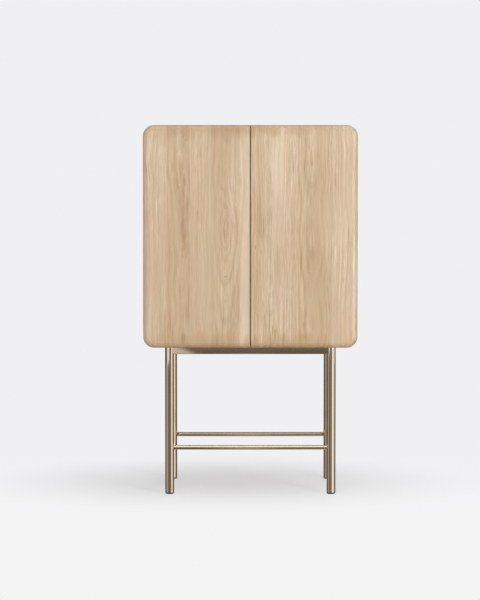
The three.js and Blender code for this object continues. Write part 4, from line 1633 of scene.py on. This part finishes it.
@dataclass
class CupHinge:
    """A concealed hinge: the cup on the door, and the cranked arm on the cabinet's side."""

    side: Side
    level: str
    cup_wall: float = 0.001
    cup_radius: float = 0.020
    cup_hollow: float = 0.002
    lip: float = 0.0002
    ear_width: float = 0.022
    ear_bite: float = 0.0005
    ear_screw: float = 0.0062
    eye_radius: float = 0.0034
    eye_ease: float = 0.0004
    pin_radius: float = 0.0018
    arm_thickness: float = 0.003
    arm_offset: float = 0.014
    arm_width: float = 0.011
    arm_length: float = 0.096
    arm_round: float = 0.005
    arm_screws: Point2 = (0.036, 0.084)
    plate_start: float = 0.026
    plate_length: float = 0.058
    plate_height: float = 0.050
    plate_round: float = 0.009
    plate_lap: float = 0.0005
    plate_ease: float = 0.0009
    plate_screw: float = 0.017

    def build(self, shop: Workshop) -> None:
        """Makes the hinge."""
        axis = self._axis()
        self._cup(shop, axis)
        self._arm(shop, axis)

    def _axis(self) -> Vector:
        """Finds the middle of the hinge's pin."""
        low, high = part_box(f"hinge_arm_{self.level}_{self.side.label}")
        outer = high.x - self.eye_radius if self.side is Side.RIGHT else low.x + self.eye_radius
        return Vector((outer, low.y + self.eye_radius, (low.z + high.z) / 2))

    def _cup(self, shop: Workshop, axis: Vector) -> None:
        """Makes the cup with its ears, pin and screws."""
        node = f"hinge_cup_{self.level}_{self.side.label}"
        low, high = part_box(node)
        x = (low.x + high.x) / 2
        z = (low.z + high.z) / 2
        door_back = high.y - self.cup_wall
        inner = self.cup_radius - self.cup_wall
        profile = (
            (0.0, low.y), (self.cup_radius - METAL_EASE, low.y),
            (self.cup_radius, low.y + METAL_EASE), (self.cup_radius, high.y - METAL_EASE / 2),
            (self.cup_radius - METAL_EASE / 2, high.y), (inner + self.lip, high.y),
            (inner, high.y - METAL_EASE / 2), (inner, low.y + self.cup_wall + self.cup_hollow),
            (inner - self.cup_hollow, low.y + self.cup_wall), (0.0, low.y + self.cup_wall),
        )
        cup = Shape.turned(profile, Axis.Y, Vector((x, 0.0, z)), 64)
        ear_length = high.z - low.z
        ear_round = self.ear_width / 2 - self.cup_wall / 2
        outline = rounded_box((z, x), ear_length, self.ear_width, ear_round)
        ears = Shape.pushed(outline, Axis.Y, door_back, high.y)
        ears.eased(METAL_EASE / 2, 1)
        bite = (-OVERSHOOT, OVERSHOOT)
        centre = Vector((x, door_back, z))
        ears.cut_by(Shape.rod(inner + self.ear_bite, bite, Axis.Y, centre, 64))
        reach = math.sqrt(inner**2 - (axis.x - x) ** 2)
        centre = Vector((axis.x, axis.y, z))
        pin = Shape.rod(self.pin_radius, (-reach, reach), Axis.Z, centre, 24)
        shop.place(f"{node}_body", cup.joined(ears, pin), Finish.NICKEL, node)
        lift = ear_length / 2 - self.ear_screw
        heads = [Vector((x, high.y, z + sign * lift)) for sign in (-1, 1)]
        shop.screws(node, Screws(), heads, Axis.Y.vector)

    def _arm(self, shop: Workshop, axis: Vector) -> None:
        """Makes the cranked arm, its plate and their screws."""
        node = f"hinge_arm_{self.level}_{self.side.label}"
        inward = -self.side.value
        half_width = self.arm_width / 2
        arm = Shape.pushed(
            self._arm_outline(axis, inward), Axis.Z, axis.z - half_width, axis.z + half_width
        )
        arm.eased(self.eye_ease)
        bore = self.pin_radius + FIT
        radii = (bore, self.eye_radius)
        ends = (-half_width, half_width)
        eye = Shape.eased_rod(radii, ends, self.eye_ease, Axis.Z, axis, 32)
        arm.cut_by(Shape.rod(bore, (-OVERSHOOT, OVERSHOOT), Axis.Z, axis, 32))

        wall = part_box("left_panel")[1].x if self.side is Side.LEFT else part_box("right_panel")[0].x
        plate_middle = axis.y + self.plate_start + self.plate_length / 2
        outline = rounded_box(
            (plate_middle, axis.z), self.plate_length, self.plate_height, self.plate_round
        )
        plate_x = axis.x + inward * (self.arm_offset + self.plate_lap)
        plate = Shape.pushed(outline, Axis.X, *sorted((wall, plate_x)))
        plate.eased(self.plate_ease)
        shop.place(f"{node}_body", arm.joined(eye, plate), Finish.NICKEL, node)

        heads = [
            Vector((plate_x, plate_middle, axis.z + sign * self.plate_screw)) for sign in (-1, 1)
        ]
        arm_x = axis.x + inward * (self.arm_offset + self.arm_thickness)
        heads += [Vector((arm_x, axis.y + y, axis.z)) for y in self.arm_screws]
        shop.screws(node, Screws(), heads, Vector((inward, 0.0, 0.0)))

    def _arm_outline(self, axis: Vector, inward: int) -> list[Point2]:
        """Walks the plan of the cranked arm, as (x, y) points.

        Args:
            axis: The middle of the pin.
            inward: The sign of X towards the cabinet's middle.

        Returns:
            The outline.
        """
        half = self.arm_thickness / 2
        near = self.arm_offset
        far = near + self.arm_thickness
        turn = self.arm_round
        inside = turn - self.arm_thickness

        def at(x: float, y: float) -> Point2:
            """Gives a point of the plan, from the pin."""
            return axis.x + inward * x, axis.y + y

        return [
            at(0.0, -half),
            at(far - turn, -half),
            *quarter_curve(at(far - turn, -half), at(far, -half), at(far, turn - half), 6),
            at(far, self.arm_length),
            at(near, self.arm_length),
            at(near, half + inside),
            *quarter_curve(at(near, half + inside), at(near, half), at(near - inside, half), 4),
            at(0.0, half),
        ]


@dataclass
class PushLatch:
    """A push latch under the top: a housing and its sprung plunger."""

    side: Side
    bore: float = 0.0043
    bore_rest: float = 0.0043
    plunger: float = 0.004
    tip: float = 0.0055
    tip_length: float = 0.005
    tip_round: float = 0.0012
    housing_round: float = 0.0016
    screw_inset: float = 0.012

    def build(self, shop: Workshop) -> None:
        """Makes the latch."""
        housing = f"latch_housing_{self.side.label}"
        low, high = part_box(housing)
        node = f"latch_plunger_{self.side.label}"
        tip_low, tip_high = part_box(node)
        axis = axis_point(tip_low, tip_high, Axis.Y)
        body = Shape.block(low, high).eased(self.housing_round, 3)
        ends = (low.y - OVERSHOOT, tip_high.y + self.bore_rest)
        body.cut_by(Shape.rod(self.bore, ends, Axis.Y, axis, 32))
        shop.place(f"{housing}_body", body, Finish.GREY, housing)
        rows = (self.screw_inset, high.y - low.y - self.screw_inset)
        heads = [Vector((axis.x, low.y + y, low.z)) for y in rows]
        shop.screws(housing, Screws(), heads, -Axis.Z.vector)
        ease = self.tip_round
        shoulder = tip_low.y + self.tip_length
        profile = [
            (0.0, tip_low.y),
            *arc((self.tip - ease, tip_low.y + ease), ease, -QUARTER, 0.0, 4),
            (self.tip, shoulder - ease / 2), (self.tip - ease / 2, shoulder),
            (self.plunger, shoulder), (self.plunger, tip_high.y), (0.0, tip_high.y),
        ]
        plunger = Shape.turned(profile, Axis.Y, axis, 40)
        shop.place(f"{node}_body", plunger, Finish.BLACK, node)


@dataclass
class FoldOutShelf:
    """The shelf board on the right door, its cleat, piano hinge and catch."""

    corner: float = 0.018
    pull_depth: float = 0.008
    pull_height: float = 0.0129
    arris: float = 0.001
    leaf: float = 0.001
    leaf_gap: float = 0.0006
    knuckle: float = 0.003
    knuckle_ease: float = 0.0003
    bore: float = 0.0018
    knuckles: int = 9
    tab_lap: float = 0.002
    tab_clear: float = 0.0007
    catch_groove: float = 0.0005
    catch_ring: tuple[float, ...] = (0.66, 0.62, 0.5, 0.46)

    def build(self, shop: Workshop) -> None:
        """Makes the shelf."""
        self._board(shop)
        shop.board("shelf_cleat", Run.SIDEWAYS_FACE)
        self._leaf(shop, "piano_leaf_fixed", 0, -1)
        self._leaf(shop, "piano_leaf_moving", 1, 1)
        shop.dress("piano_pin", Finish.NICKEL)
        self._catch(shop)

    def _board(self, shop: Workshop) -> None:
        """Makes the board, with round corners and a bevelled pull behind its top edge."""
        node = "shelf_board"
        low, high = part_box(node)
        shape = Shape.block(low, high)
        shape.bevelled(
            lambda edge: runs_along(edge, Axis.Y) and lies_at(edge, Axis.Z, high.z), self.corner, 12
        )
        start = Vector((0.0, low.y, high.z - self.pull_height))
        slope = Vector((0.0, self.pull_depth, self.pull_height))
        normal = Vector((0.0, -slope.z, slope.y))
        geometry = [*shape.bm.verts, *shape.bm.edges, *shape.bm.faces]
        cut = bmesh.ops.bisect_plane(
            shape.bm, geom=geometry, plane_co=start, plane_no=normal, clear_outer=True
        )
        rim = [item for item in cut["geom_cut"] if isinstance(item, bmesh.types.BMEdge)]
        bmesh.ops.holes_fill(shape.bm, edges=rim, sides=0)
        shape.turned_out().eased(self.arris)
        shop.place(f"{node}_leaf", shape, Finish.OAK_INSIDE, node, Run.SIDEWAYS_FACE)

    def _leaf(self, shop: Workshop, node: str, first: int, side: int) -> None:
        """Makes one leaf of the piano hinge.

        Args:
            shop: The workshop.
            node: The leaf's node.
            first: The number of its first knuckle.
            side: 1 where it lies above the pin, -1 below.
        """
        pin_low, pin_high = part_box("piano_pin")
        axis = (pin_low + pin_high) / 2
        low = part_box(node)[0]
        pitch = (pin_high.x - pin_low.x) / self.knuckles
        inner = axis.z + side * self.leaf_gap / 2
        bottom, top = sorted((inner, inner + side * self.leaf))
        strip_rear = axis.y - self.knuckle - FIT
        corners = Vector((pin_low.x, low.y, bottom)), Vector((pin_high.x, strip_rear, top))
        parts = [Shape.block(*corners)]
        for number in range(first, self.knuckles, 2):
            x0 = pin_low.x + number * pitch + (FIT if number else 0.0)
            x1 = pin_low.x + (number + 1) * pitch
            centre = Vector((0.0, axis.y, axis.z))
            radii = (self.bore, self.knuckle)
            parts.append(Shape.eased_rod(radii, (x0, x1), self.knuckle_ease, Axis.X, centre, 24))
            tab_low = Vector((x0 + FIT, strip_rear - self.tab_lap, bottom))
            tab_high = Vector((x1 - FIT, axis.y - self.bore - self.tab_clear, top))
            parts.append(Shape.block(tab_low, tab_high))
        shop.place(f"{node}_strip", Shape().joined(*parts), Finish.BRASS, node)

    def _catch(self, shop: Workshop) -> None:
        """Makes the catch's disc on the door, with a shallow ring."""
        node = "shelf_catch"
        low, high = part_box(node)
        radius = (high.x - low.x) / 2
        floor = high.y - self.catch_groove
        heights = (high.y, floor, floor, high.y)
        profile = (
            (0.0, low.y), (radius, low.y), (radius, high.y - METAL_EASE),
            (radius - METAL_EASE, high.y),
            *((radius * share, y) for share, y in zip(self.catch_ring, heights)),
            (0.0, high.y),
        )
        shape = Shape.turned(profile, Axis.Y, axis_point(low, high, Axis.Y), 48)
        shop.place(f"{node}_disc", shape, Finish.NICKEL, node)


@dataclass
class SwingBracket:
    """The bracket that swings out under the shelf: gusset, hub, plate and pin."""

    pin: float = 0.004
    pin_ease: float = 0.0008
    hub_wall: float = 0.003
    rise: float = 0.013
    tip_height: float = 0.016
    frame: float = 0.015
    window_share: float = 2 / 3
    thickness: float = 0.006
    gusset_ease: float = 0.0009
    plate_thickness: float = 0.003
    lug: float = 0.008
    lug_wall: float = 0.0045
    lug_sink: float = 0.002
    lug_ease: float = 0.0007
    screw_radius: float = 0.0028
    screw_spread: Point2 = (0.0125, 0.042)

    def build(self, shop: Workshop) -> None:
        """Makes the bracket."""
        pin_low, pin_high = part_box("bracket_pin")
        axis = (pin_low + pin_high) / 2
        low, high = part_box("bracket_plate")
        self._gusset(shop, axis, low.z + self.lug + FIT, high.z - self.lug - FIT)
        self._plate(shop, axis, low, high)
        centre = axis_point(pin_low, pin_high, Axis.Z)
        radii = (0.0, (pin_high.x - pin_low.x) / 2)
        ends = (pin_low.z, pin_high.z)
        rod = Shape.eased_rod(radii, ends, self.pin_ease, Axis.Z, centre, 32)
        shop.place("bracket_pin_rod", rod, Finish.NICKEL, "bracket_pin")

    def _gusset(self, shop: Workshop, axis: Vector, foot: float, hub_top: float) -> None:
        """Makes the open gusset and its hub.

        Args:
            shop: The workshop.
            axis: The middle of the pin.
            foot: The underside of the hub.
            hub_top: The top of the hub.
        """
        node = "bracket_arm"
        low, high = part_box(node)
        bore = self.pin + FIT
        inner = axis.x - bore - FIT
        post = axis.x - self.rise
        tip = high.z - self.tip_height
        curve_control = (tip - self.frame, post - 2 * self.frame)
        outline = [
            (hub_top, inner), (hub_top, post), (high.z, post), (high.z, low.x), (tip, low.x),
            *quarter_curve((tip, low.x), curve_control, (foot, post), 20),
            (foot, inner),
        ]
        front = axis.y - self.thickness / 2
        rear = axis.y + self.thickness / 2
        gusset = Shape.pushed(outline, Axis.Y, front, rear)
        right = post - self.frame
        left = axis.x - (axis.x - low.x) * self.window_share
        top = high.z - self.frame
        curve_control = (tip - 2 * self.frame, right - self.frame)
        bottom = ((foot + hub_top) / 2, right)
        window = [(top, right), (top, left), *quarter_curve((top, left), curve_control, bottom, 16)]
        gusset.cut_by(
            Shape.pushed(window, Axis.Y, front - self.thickness, rear + self.thickness)
        )
        gusset.eased(self.gusset_ease)
        centre = Vector((axis.x, axis.y, 0.0))
        radii = (bore, bore + self.hub_wall)
        hub = Shape.eased_rod(radii, (foot, hub_top), METAL_EASE, Axis.Z, centre, 40)
        shop.place(f"{node}_gusset", gusset.joined(hub), Finish.BRASS, node)

    def _plate(self, shop: Workshop, axis: Vector, low: Vector, high: Vector) -> None:
        """Makes the plate on the door, its two lugs and screws.

        Args:
            shop: The workshop.
            axis: The middle of the pin.
            low: The plate's lowest corner.
            high: The plate's highest corner.
        """
        node = "bracket_plate"
        middle = (low + high) / 2
        face = low.y + self.plate_thickness
        foot = face - self.lug_sink
        outline = rounded_box(
            (middle.z, middle.x), high.z - low.z, high.x - low.x, self.plate_thickness
        )
        plate = Shape.pushed(outline, Axis.Y, low.y, face).eased(METAL_EASE)
        bore = self.pin + FIT
        radius = bore + self.lug_wall
        round_end = arc((axis.x, axis.y), radius, 0.0, 2 * QUARTER, 16)
        outline = [(axis.x + radius, foot), *round_end, (axis.x - radius, foot)]
        for z in (low.z, high.z - self.lug):
            lug = Shape.pushed(outline, Axis.Z, z, z + self.lug)
            lug.eased(self.lug_ease)
            centre = Vector((axis.x, axis.y, z))
            lug.cut_by(Shape.rod(bore, (-OVERSHOOT, OVERSHOOT), Axis.Z, centre, 32))
            plate.joined(lug)
        shop.place(f"{node}_body", plate, Finish.BRASS, node)
        across, up = self.screw_spread
        heads = [
            Vector((axis.x + x, face, middle.z + z)) for x in (-across, across) for z in (-up, up)
        ]
        screws = Screws(Finish.BRASS, radius=self.screw_radius)
        shop.screws(node, screws, heads, Axis.Y.vector)


@dataclass
class BottleRack:
    """A bottle tray on the left door: two shaped cheeks, a floor and a guard rail."""

    level: str
    cheek: float = 0.010
    floor: float = 0.010
    front_height: float = 0.092
    round: float = 0.026
    arris: float = 0.0008

    def build(self, shop: Workshop) -> None:
        """Makes the tray."""
        node = f"bottle_tray_{self.level}"
        low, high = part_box(node)
        outline = self._cheek(low, high)
        rail_node = f"bottle_rail_{self.level}"
        rail_low, rail_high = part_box(rail_node)
        centre = axis_point(rail_low, rail_high, Axis.X)
        radius = (rail_high.z - rail_low.z) / 2
        right = high.x - self.cheek
        cheeks = (
            (Side.LEFT, low.x, (rail_low.x - FIT, low.x + self.cheek + OVERSHOOT)),
            (Side.RIGHT, right, (right - OVERSHOOT, rail_high.x + FIT)),
        )
        for side, start, socket in cheeks:
            cheek = Shape.pushed(outline, Axis.X, start, start + self.cheek)
            cheek.eased(self.arris)
            cheek.cut_by(Shape.rod(radius + FIT, socket, Axis.X, centre, 24))
            name = f"{node}_cheek_{side.label}"
            shop.place(name, cheek, Finish.OAK_INSIDE, node, Run.UPRIGHT_SIDE)
        floor_low = Vector((low.x + self.cheek, low.y, low.z))
        floor_high = Vector((right, high.y, low.z + self.floor))
        floor = Shape.block(floor_low, floor_high)
        floor.bevelled(lambda edge: runs_along(edge, Axis.X), self.arris, 2)
        shop.place(f"{node}_floor", floor, Finish.OAK_INSIDE, node, Run.SIDEWAYS)
        ends = (rail_low.x, rail_high.x)
        rail = Shape.eased_rod((0.0, radius), ends, METAL_EASE, Axis.X, centre, 32)
        shop.place(f"{rail_node}_rod", rail, Finish.BRASS, rail_node)

    def _cheek(self, low: Vector, high: Vector) -> list[Point2]:
        """Walks a cheek's outline, as (y, z) points."""
        front_top = low.z + self.front_height
        start = (high.y, front_top - self.round)
        shoulder = (high.y - self.round, front_top)
        return [
            (low.y, low.z),
            (high.y, low.z),
            start,
            *quarter_curve(start, (high.y, front_top), shoulder, 10),
            *quarter_curve(shoulder, (low.y + self.round, front_top), (low.y, high.z), 14),
        ]


@dataclass(frozen=True)
class SoftBox:
    """A soft box of the studio, and which rays don't see it."""

    name: str
    place: tuple[float, float, float]
    target: tuple[float, float, float]
    size: Point2
    watts: float
    unseen_by: str = ""

    def hang(self) -> None:
        """Hangs the soft box."""
        data = bpy.data.lights.new(self.name, "AREA")
        data.shape = "RECTANGLE"
        data.size, data.size_y = self.size
        data.energy = self.watts
        lamp = bpy.data.objects.new(self.name, data)
        lamp.location = self.place
        aim = Vector(self.target) - Vector(self.place)
        lamp.rotation_euler = aim.to_track_quat("-Z", "Y").to_euler()
        if self.unseen_by:
            setattr(lamp, f"visible_{self.unseen_by}", False)
        bpy.context.scene.collection.objects.link(lamp)


CABINET_MIDDLE = (0.0, 0.0, 0.95)

SOFT_BOXES = (
    SoftBox("key", (2.95, -3.65, 1.7), CABINET_MIDDLE, (1.0, 2.6), 70.5),
    SoftBox("top_gleam", (0.0, -0.66, 4.4), (0.0, -0.2, 1.4), (4.0, 1.3), 66.0, "diffuse"),
    SoftBox("side_gleam", (3.0, -3.6, 1.4), CABINET_MIDDLE, (1.5, 2.6), 60.0, "diffuse"),
    SoftBox("front_fill", (-1.4, -6.0, 2.0), CABINET_MIDDLE, (2.4, 2.4), 89.0, "glossy"),
    SoftBox("rear_fill", (1.8, 5.4, 2.4), CABINET_MIDDLE, (2.4, 2.4), 90.0, "glossy"),
)

# How bright the cards stand round the legs: degrees from the front, and the level there.
CARD_LEVELS = (
    (-180, 0.30), (-165, 0.60), (-150, 0.45), (-138, 0.09), (-104, 0.07), (-97, 0.11),
    (-88, 0.30), (-77, 0.36), (-64, 0.50), (-51, 0.50), (-43, 0.27), (-32, 0.17),
    (-22, 0.17), (-12, 0.13), (0, 0.42), (8, 0.18), (18, 0.10), (25, 0.25), (32, 0.98),
    (47, 1.20), (60, 1.02), (71, 0.72), (82, 0.50), (89, 0.24), (97, 0.07),
    (138, 0.09), (150, 0.45), (165, 0.60), (180, 0.30),
)


@dataclass
class Studio:
    """A pale floor, a soft key from the right, and the photograph's camera."""

    background: Colour = srgb(240, 240, 242)
    floor_colour: Colour = srgb(243, 243, 245)
    bounce_colour: Colour = (0.60, 0.56, 0.50)
    front_floor: Colour = srgb(243, 243, 244)
    floor_size: float = 40.0
    floor_turn: float = 0.9
    shadow_middle: Colour = (-0.10, 0.10, 0.0)
    shadow_squeeze: Colour = (0.68, 1.12, 1.0)
    shadow_window: Point2 = (0.02, 0.76)
    shadow_glow: float = 0.26
    card_radius: float = 1.3
    card_top: float = 0.50
    card_foot: float = -1.6
    card_steps: int = 96
    dark_card: Colour = (0.14, 0.13, 0.115)
    bright_card: Colour = (0.98, 0.98, 0.98)
    upper_window: Point2 = (0.402, 0.422)
    rail_height: float = 0.4415
    rail_slant: float = 60.0
    rail_window: Point2 = (-11.1, -13.2)
    rail_share: float = 0.66
    left_pane: tuple[Point2, Point2] = ((-68.0, -60.0), (-18.0, -21.0))
    right_pane: tuple[Point2, Point2] = ((24.0, 31.0), (90.0, 80.0))
    flag_colour: Colour = (0.05, 0.045, 0.04)
    flag_low: Colour = (-3.0, 2.2, 0.0)
    flag_high: Colour = (3.0, 2.25, 3.6)
    low_fill: float = 0.72
    high_fill: float = 0.48
    rear_fill: float = 0.40
    lens: float = 117.016
    shift: Point2 = (-0.01723, -0.1497)
    eye: tuple[float, float, float] = (0.0, -8.0001, 1.4880)
    pitch: float = -2.4978

    def build(self) -> None:
        """Makes the studio."""
        self._camera()
        self._world()
        self._floor()
        self._reflections()
        for box in SOFT_BOXES:
            box.hang()
        bpy.context.scene.view_settings.view_transform = "Standard"

    def _camera(self) -> None:
        """Sets the camera as the photograph was taken, for a frame of 480 by 600."""
        data = bpy.data.cameras.new("camera")
        data.sensor_width = 36.0
        data.lens = self.lens
        data.shift_x, data.shift_y = self.shift
        data.clip_end = 200.0
        camera = bpy.data.objects.new("camera", data)
        camera.location = self.eye
        camera.rotation_euler = (QUARTER + math.radians(self.pitch), 0.0, 0.0)
        bpy.context.scene.collection.objects.link(camera)
        bpy.context.scene.camera = camera

    def _world(self) -> None:
        """Lights the room softly, and shows the pale background to camera, gloss and glass."""
        world = bpy.data.worlds.new("studio")
        world.use_nodes = True
        bpy.context.scene.world = world
        graph = Graph(world.node_tree)
        direction = graph.node("ShaderNodeTexCoord", None, None, "Generated")
        _, depth, height = graph.parts(direction)
        low, high, behind = (
            (level,) * 3 for level in (self.low_fill, self.high_fill, self.rear_fill)
        )
        ahead = graph.mix(height.rise(0.0, 0.9), low, high)
        level = graph.mix(depth.rise(-0.3, 0.5), ahead, behind)
        colour = graph.mix(self._seen_rays(graph), level, self.background)
        light = graph.node("ShaderNodeBackground", None, {"Color": colour, "Strength": 1.0})
        graph.show(light, "ShaderNodeOutputWorld")

    @staticmethod
    def _seen_rays(graph: Graph) -> Wire:
        """Tells camera, glossy and transmission rays from the rest."""
        camera = graph.node("ShaderNodeLightPath", None, None, "Is Camera Ray")
        outputs = camera.socket.node.outputs
        glossy = Wire(graph, outputs["Is Glossy Ray"])
        through = Wire(graph, outputs["Is Transmission Ray"])
        return (camera + glossy + through).at_most(1.0)

    def _floor(self) -> None:
        """Lays the floor, which takes the background's colour away from the cabinet."""
        material, graph = new_material("studio_floor")
        place = graph.place()
        offset = graph.vector("SUBTRACT", place, self.shadow_middle)
        offset = graph.vector("MULTIPLY", offset, self.shadow_squeeze)
        distance = graph.node("ShaderNodeVectorMath", {"operation": "LENGTH"}, {0: offset}, "Value")
        far = distance.rise(*self.shadow_window) * (1.0 - self.shadow_glow) + self.shadow_glow
        soft = graph.node("ShaderNodeLightPath", None, None, "Is Diffuse Ray")
        colour = graph.mix(soft, self.floor_colour, self.bounce_colour)
        matt = graph.node("ShaderNodeBsdfDiffuse", None, {"Color": colour})
        depth = graph.parts(place)[1].rise(-self.floor_turn, self.floor_turn)
        shown = graph.mix(depth, self.front_floor, self.background)
        glow = graph.node("ShaderNodeEmission", None, {"Color": shown, "Strength": 1.0})
        share = self._seen_rays(graph) * far
        surface = graph.node("ShaderNodeMixShader", None, {0: share, 1: matt, 2: glow})
        graph.show(surface)
        shape = Shape()
        bmesh.ops.create_grid(shape.bm, x_segments=1, y_segments=1, size=self.floor_size / 2)
        floor = self._stage("floor", shape, material)
        floor.visible_glossy = False

    def _reflections(self) -> None:
        """Stands light and dark cards round the cabinet's legs, which only their gloss sees."""
        cards, graph = new_material("studio_cards")
        self._shine(graph, self._card_colour(graph))
        foot, radius = self.card_foot, self.card_radius
        profile = ((0.0, foot), (radius, foot), (radius, self.card_top))
        ring = Shape.turned(profile, Axis.Z, Vector(), self.card_steps)
        dark, graph = new_material("studio_flag")
        self._shine(graph, self.flag_colour)
        flag = Shape.block(Vector(self.flag_low), Vector(self.flag_high))
        pieces = (("reflection_cards", ring, cards), ("rear_flag", flag, dark))
        for name, shape, material in pieces:
            card = self._stage(name, shape, material)
            for rays in ("camera", "diffuse", "shadow", "transmission"):
                setattr(card, f"visible_{rays}", False)

    @staticmethod
    def _shine(graph: Graph, colour: Wire | Colour) -> None:
        """Makes a material shine in a colour."""
        glow = graph.node("ShaderNodeEmission", None, {"Color": colour, "Strength": 1.0})
        graph.show(glow)

    def _card_colour(self, graph: Graph) -> Wire:
        """Gives the colour of the cards: stripes for the legs, and above them panes for the rail.

        Args:
            graph: The graph to add to.

        Returns:
            The colour's wire.
        """
        place = graph.place()
        x, y, z = graph.parts(place)
        turn = graph.math("ARCTAN2", x, y * -1.0) / (2 * math.pi) + 0.5
        stops = [((angle + 180.0) / 360.0, self._card_tint(level)) for angle, level in CARD_LEVELS]
        around = graph.ramp(turn, stops, "EASE")
        degrees = (turn - 0.5) * 360.0
        slant = degrees + (z - self.rail_height) * self.rail_slant
        left = slant.rise(*self.rail_window) * self.rail_share
        left = left + degrees.rise(*self.left_pane[1]) * (1.0 - self.rail_share)
        left = left * degrees.rise(*self.left_pane[0])
        right = degrees.rise(*self.right_pane[0]) * degrees.rise(*self.right_pane[1])
        share = (left + right).at_most(1.0)
        upper = graph.mix(share, self.dark_card, self.bright_card)
        return graph.mix(z.rise(*self.upper_window), around, upper)

    @staticmethod
    def _card_tint(level: float) -> Colour:
        """Gives the colour of a card, which is the warmer the darker it is."""
        return level, level * (0.90 + level * 0.1), level * (0.78 + level * 0.2)

    @staticmethod
    def _stage(name: str, shape: Shape, material: bpy.types.Material) -> bpy.types.Object:
        """Adds a thing of the studio, which isn't part of the cabinet."""
        mesh = shape.mesh(name)
        mesh.materials.append(material)
        thing = bpy.data.objects.new(name, mesh)
        bpy.context.scene.collection.objects.link(thing)
        return thing


def main(frame: dict) -> None:
    """Builds the studio and every sub-assembly in order.
    """
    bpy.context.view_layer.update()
    Studio().build()
    shop = Workshop(frame)
    for side in Side:
        Door(side).build(shop)
        for level in ("lower", "upper"):
            CupHinge(side, level).build(shop)
        PushLatch(side).build(shop)
    Carcass().build(shop)
    Interior().build(shop)
    StemwareRack().build(shop)
    LegFrame().build(shop)
    FoldOutShelf().build(shop)
    SwingBracket().build(shop)
    for level in ("lower", "upper"):
        BottleRack(level).build(shop)
    LOG.info("%d pieces made", shop.made)


if __name__ == "__main__":
    logging.basicConfig(level=logging.INFO, format="%(name)s: %(message)s")
    main(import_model())
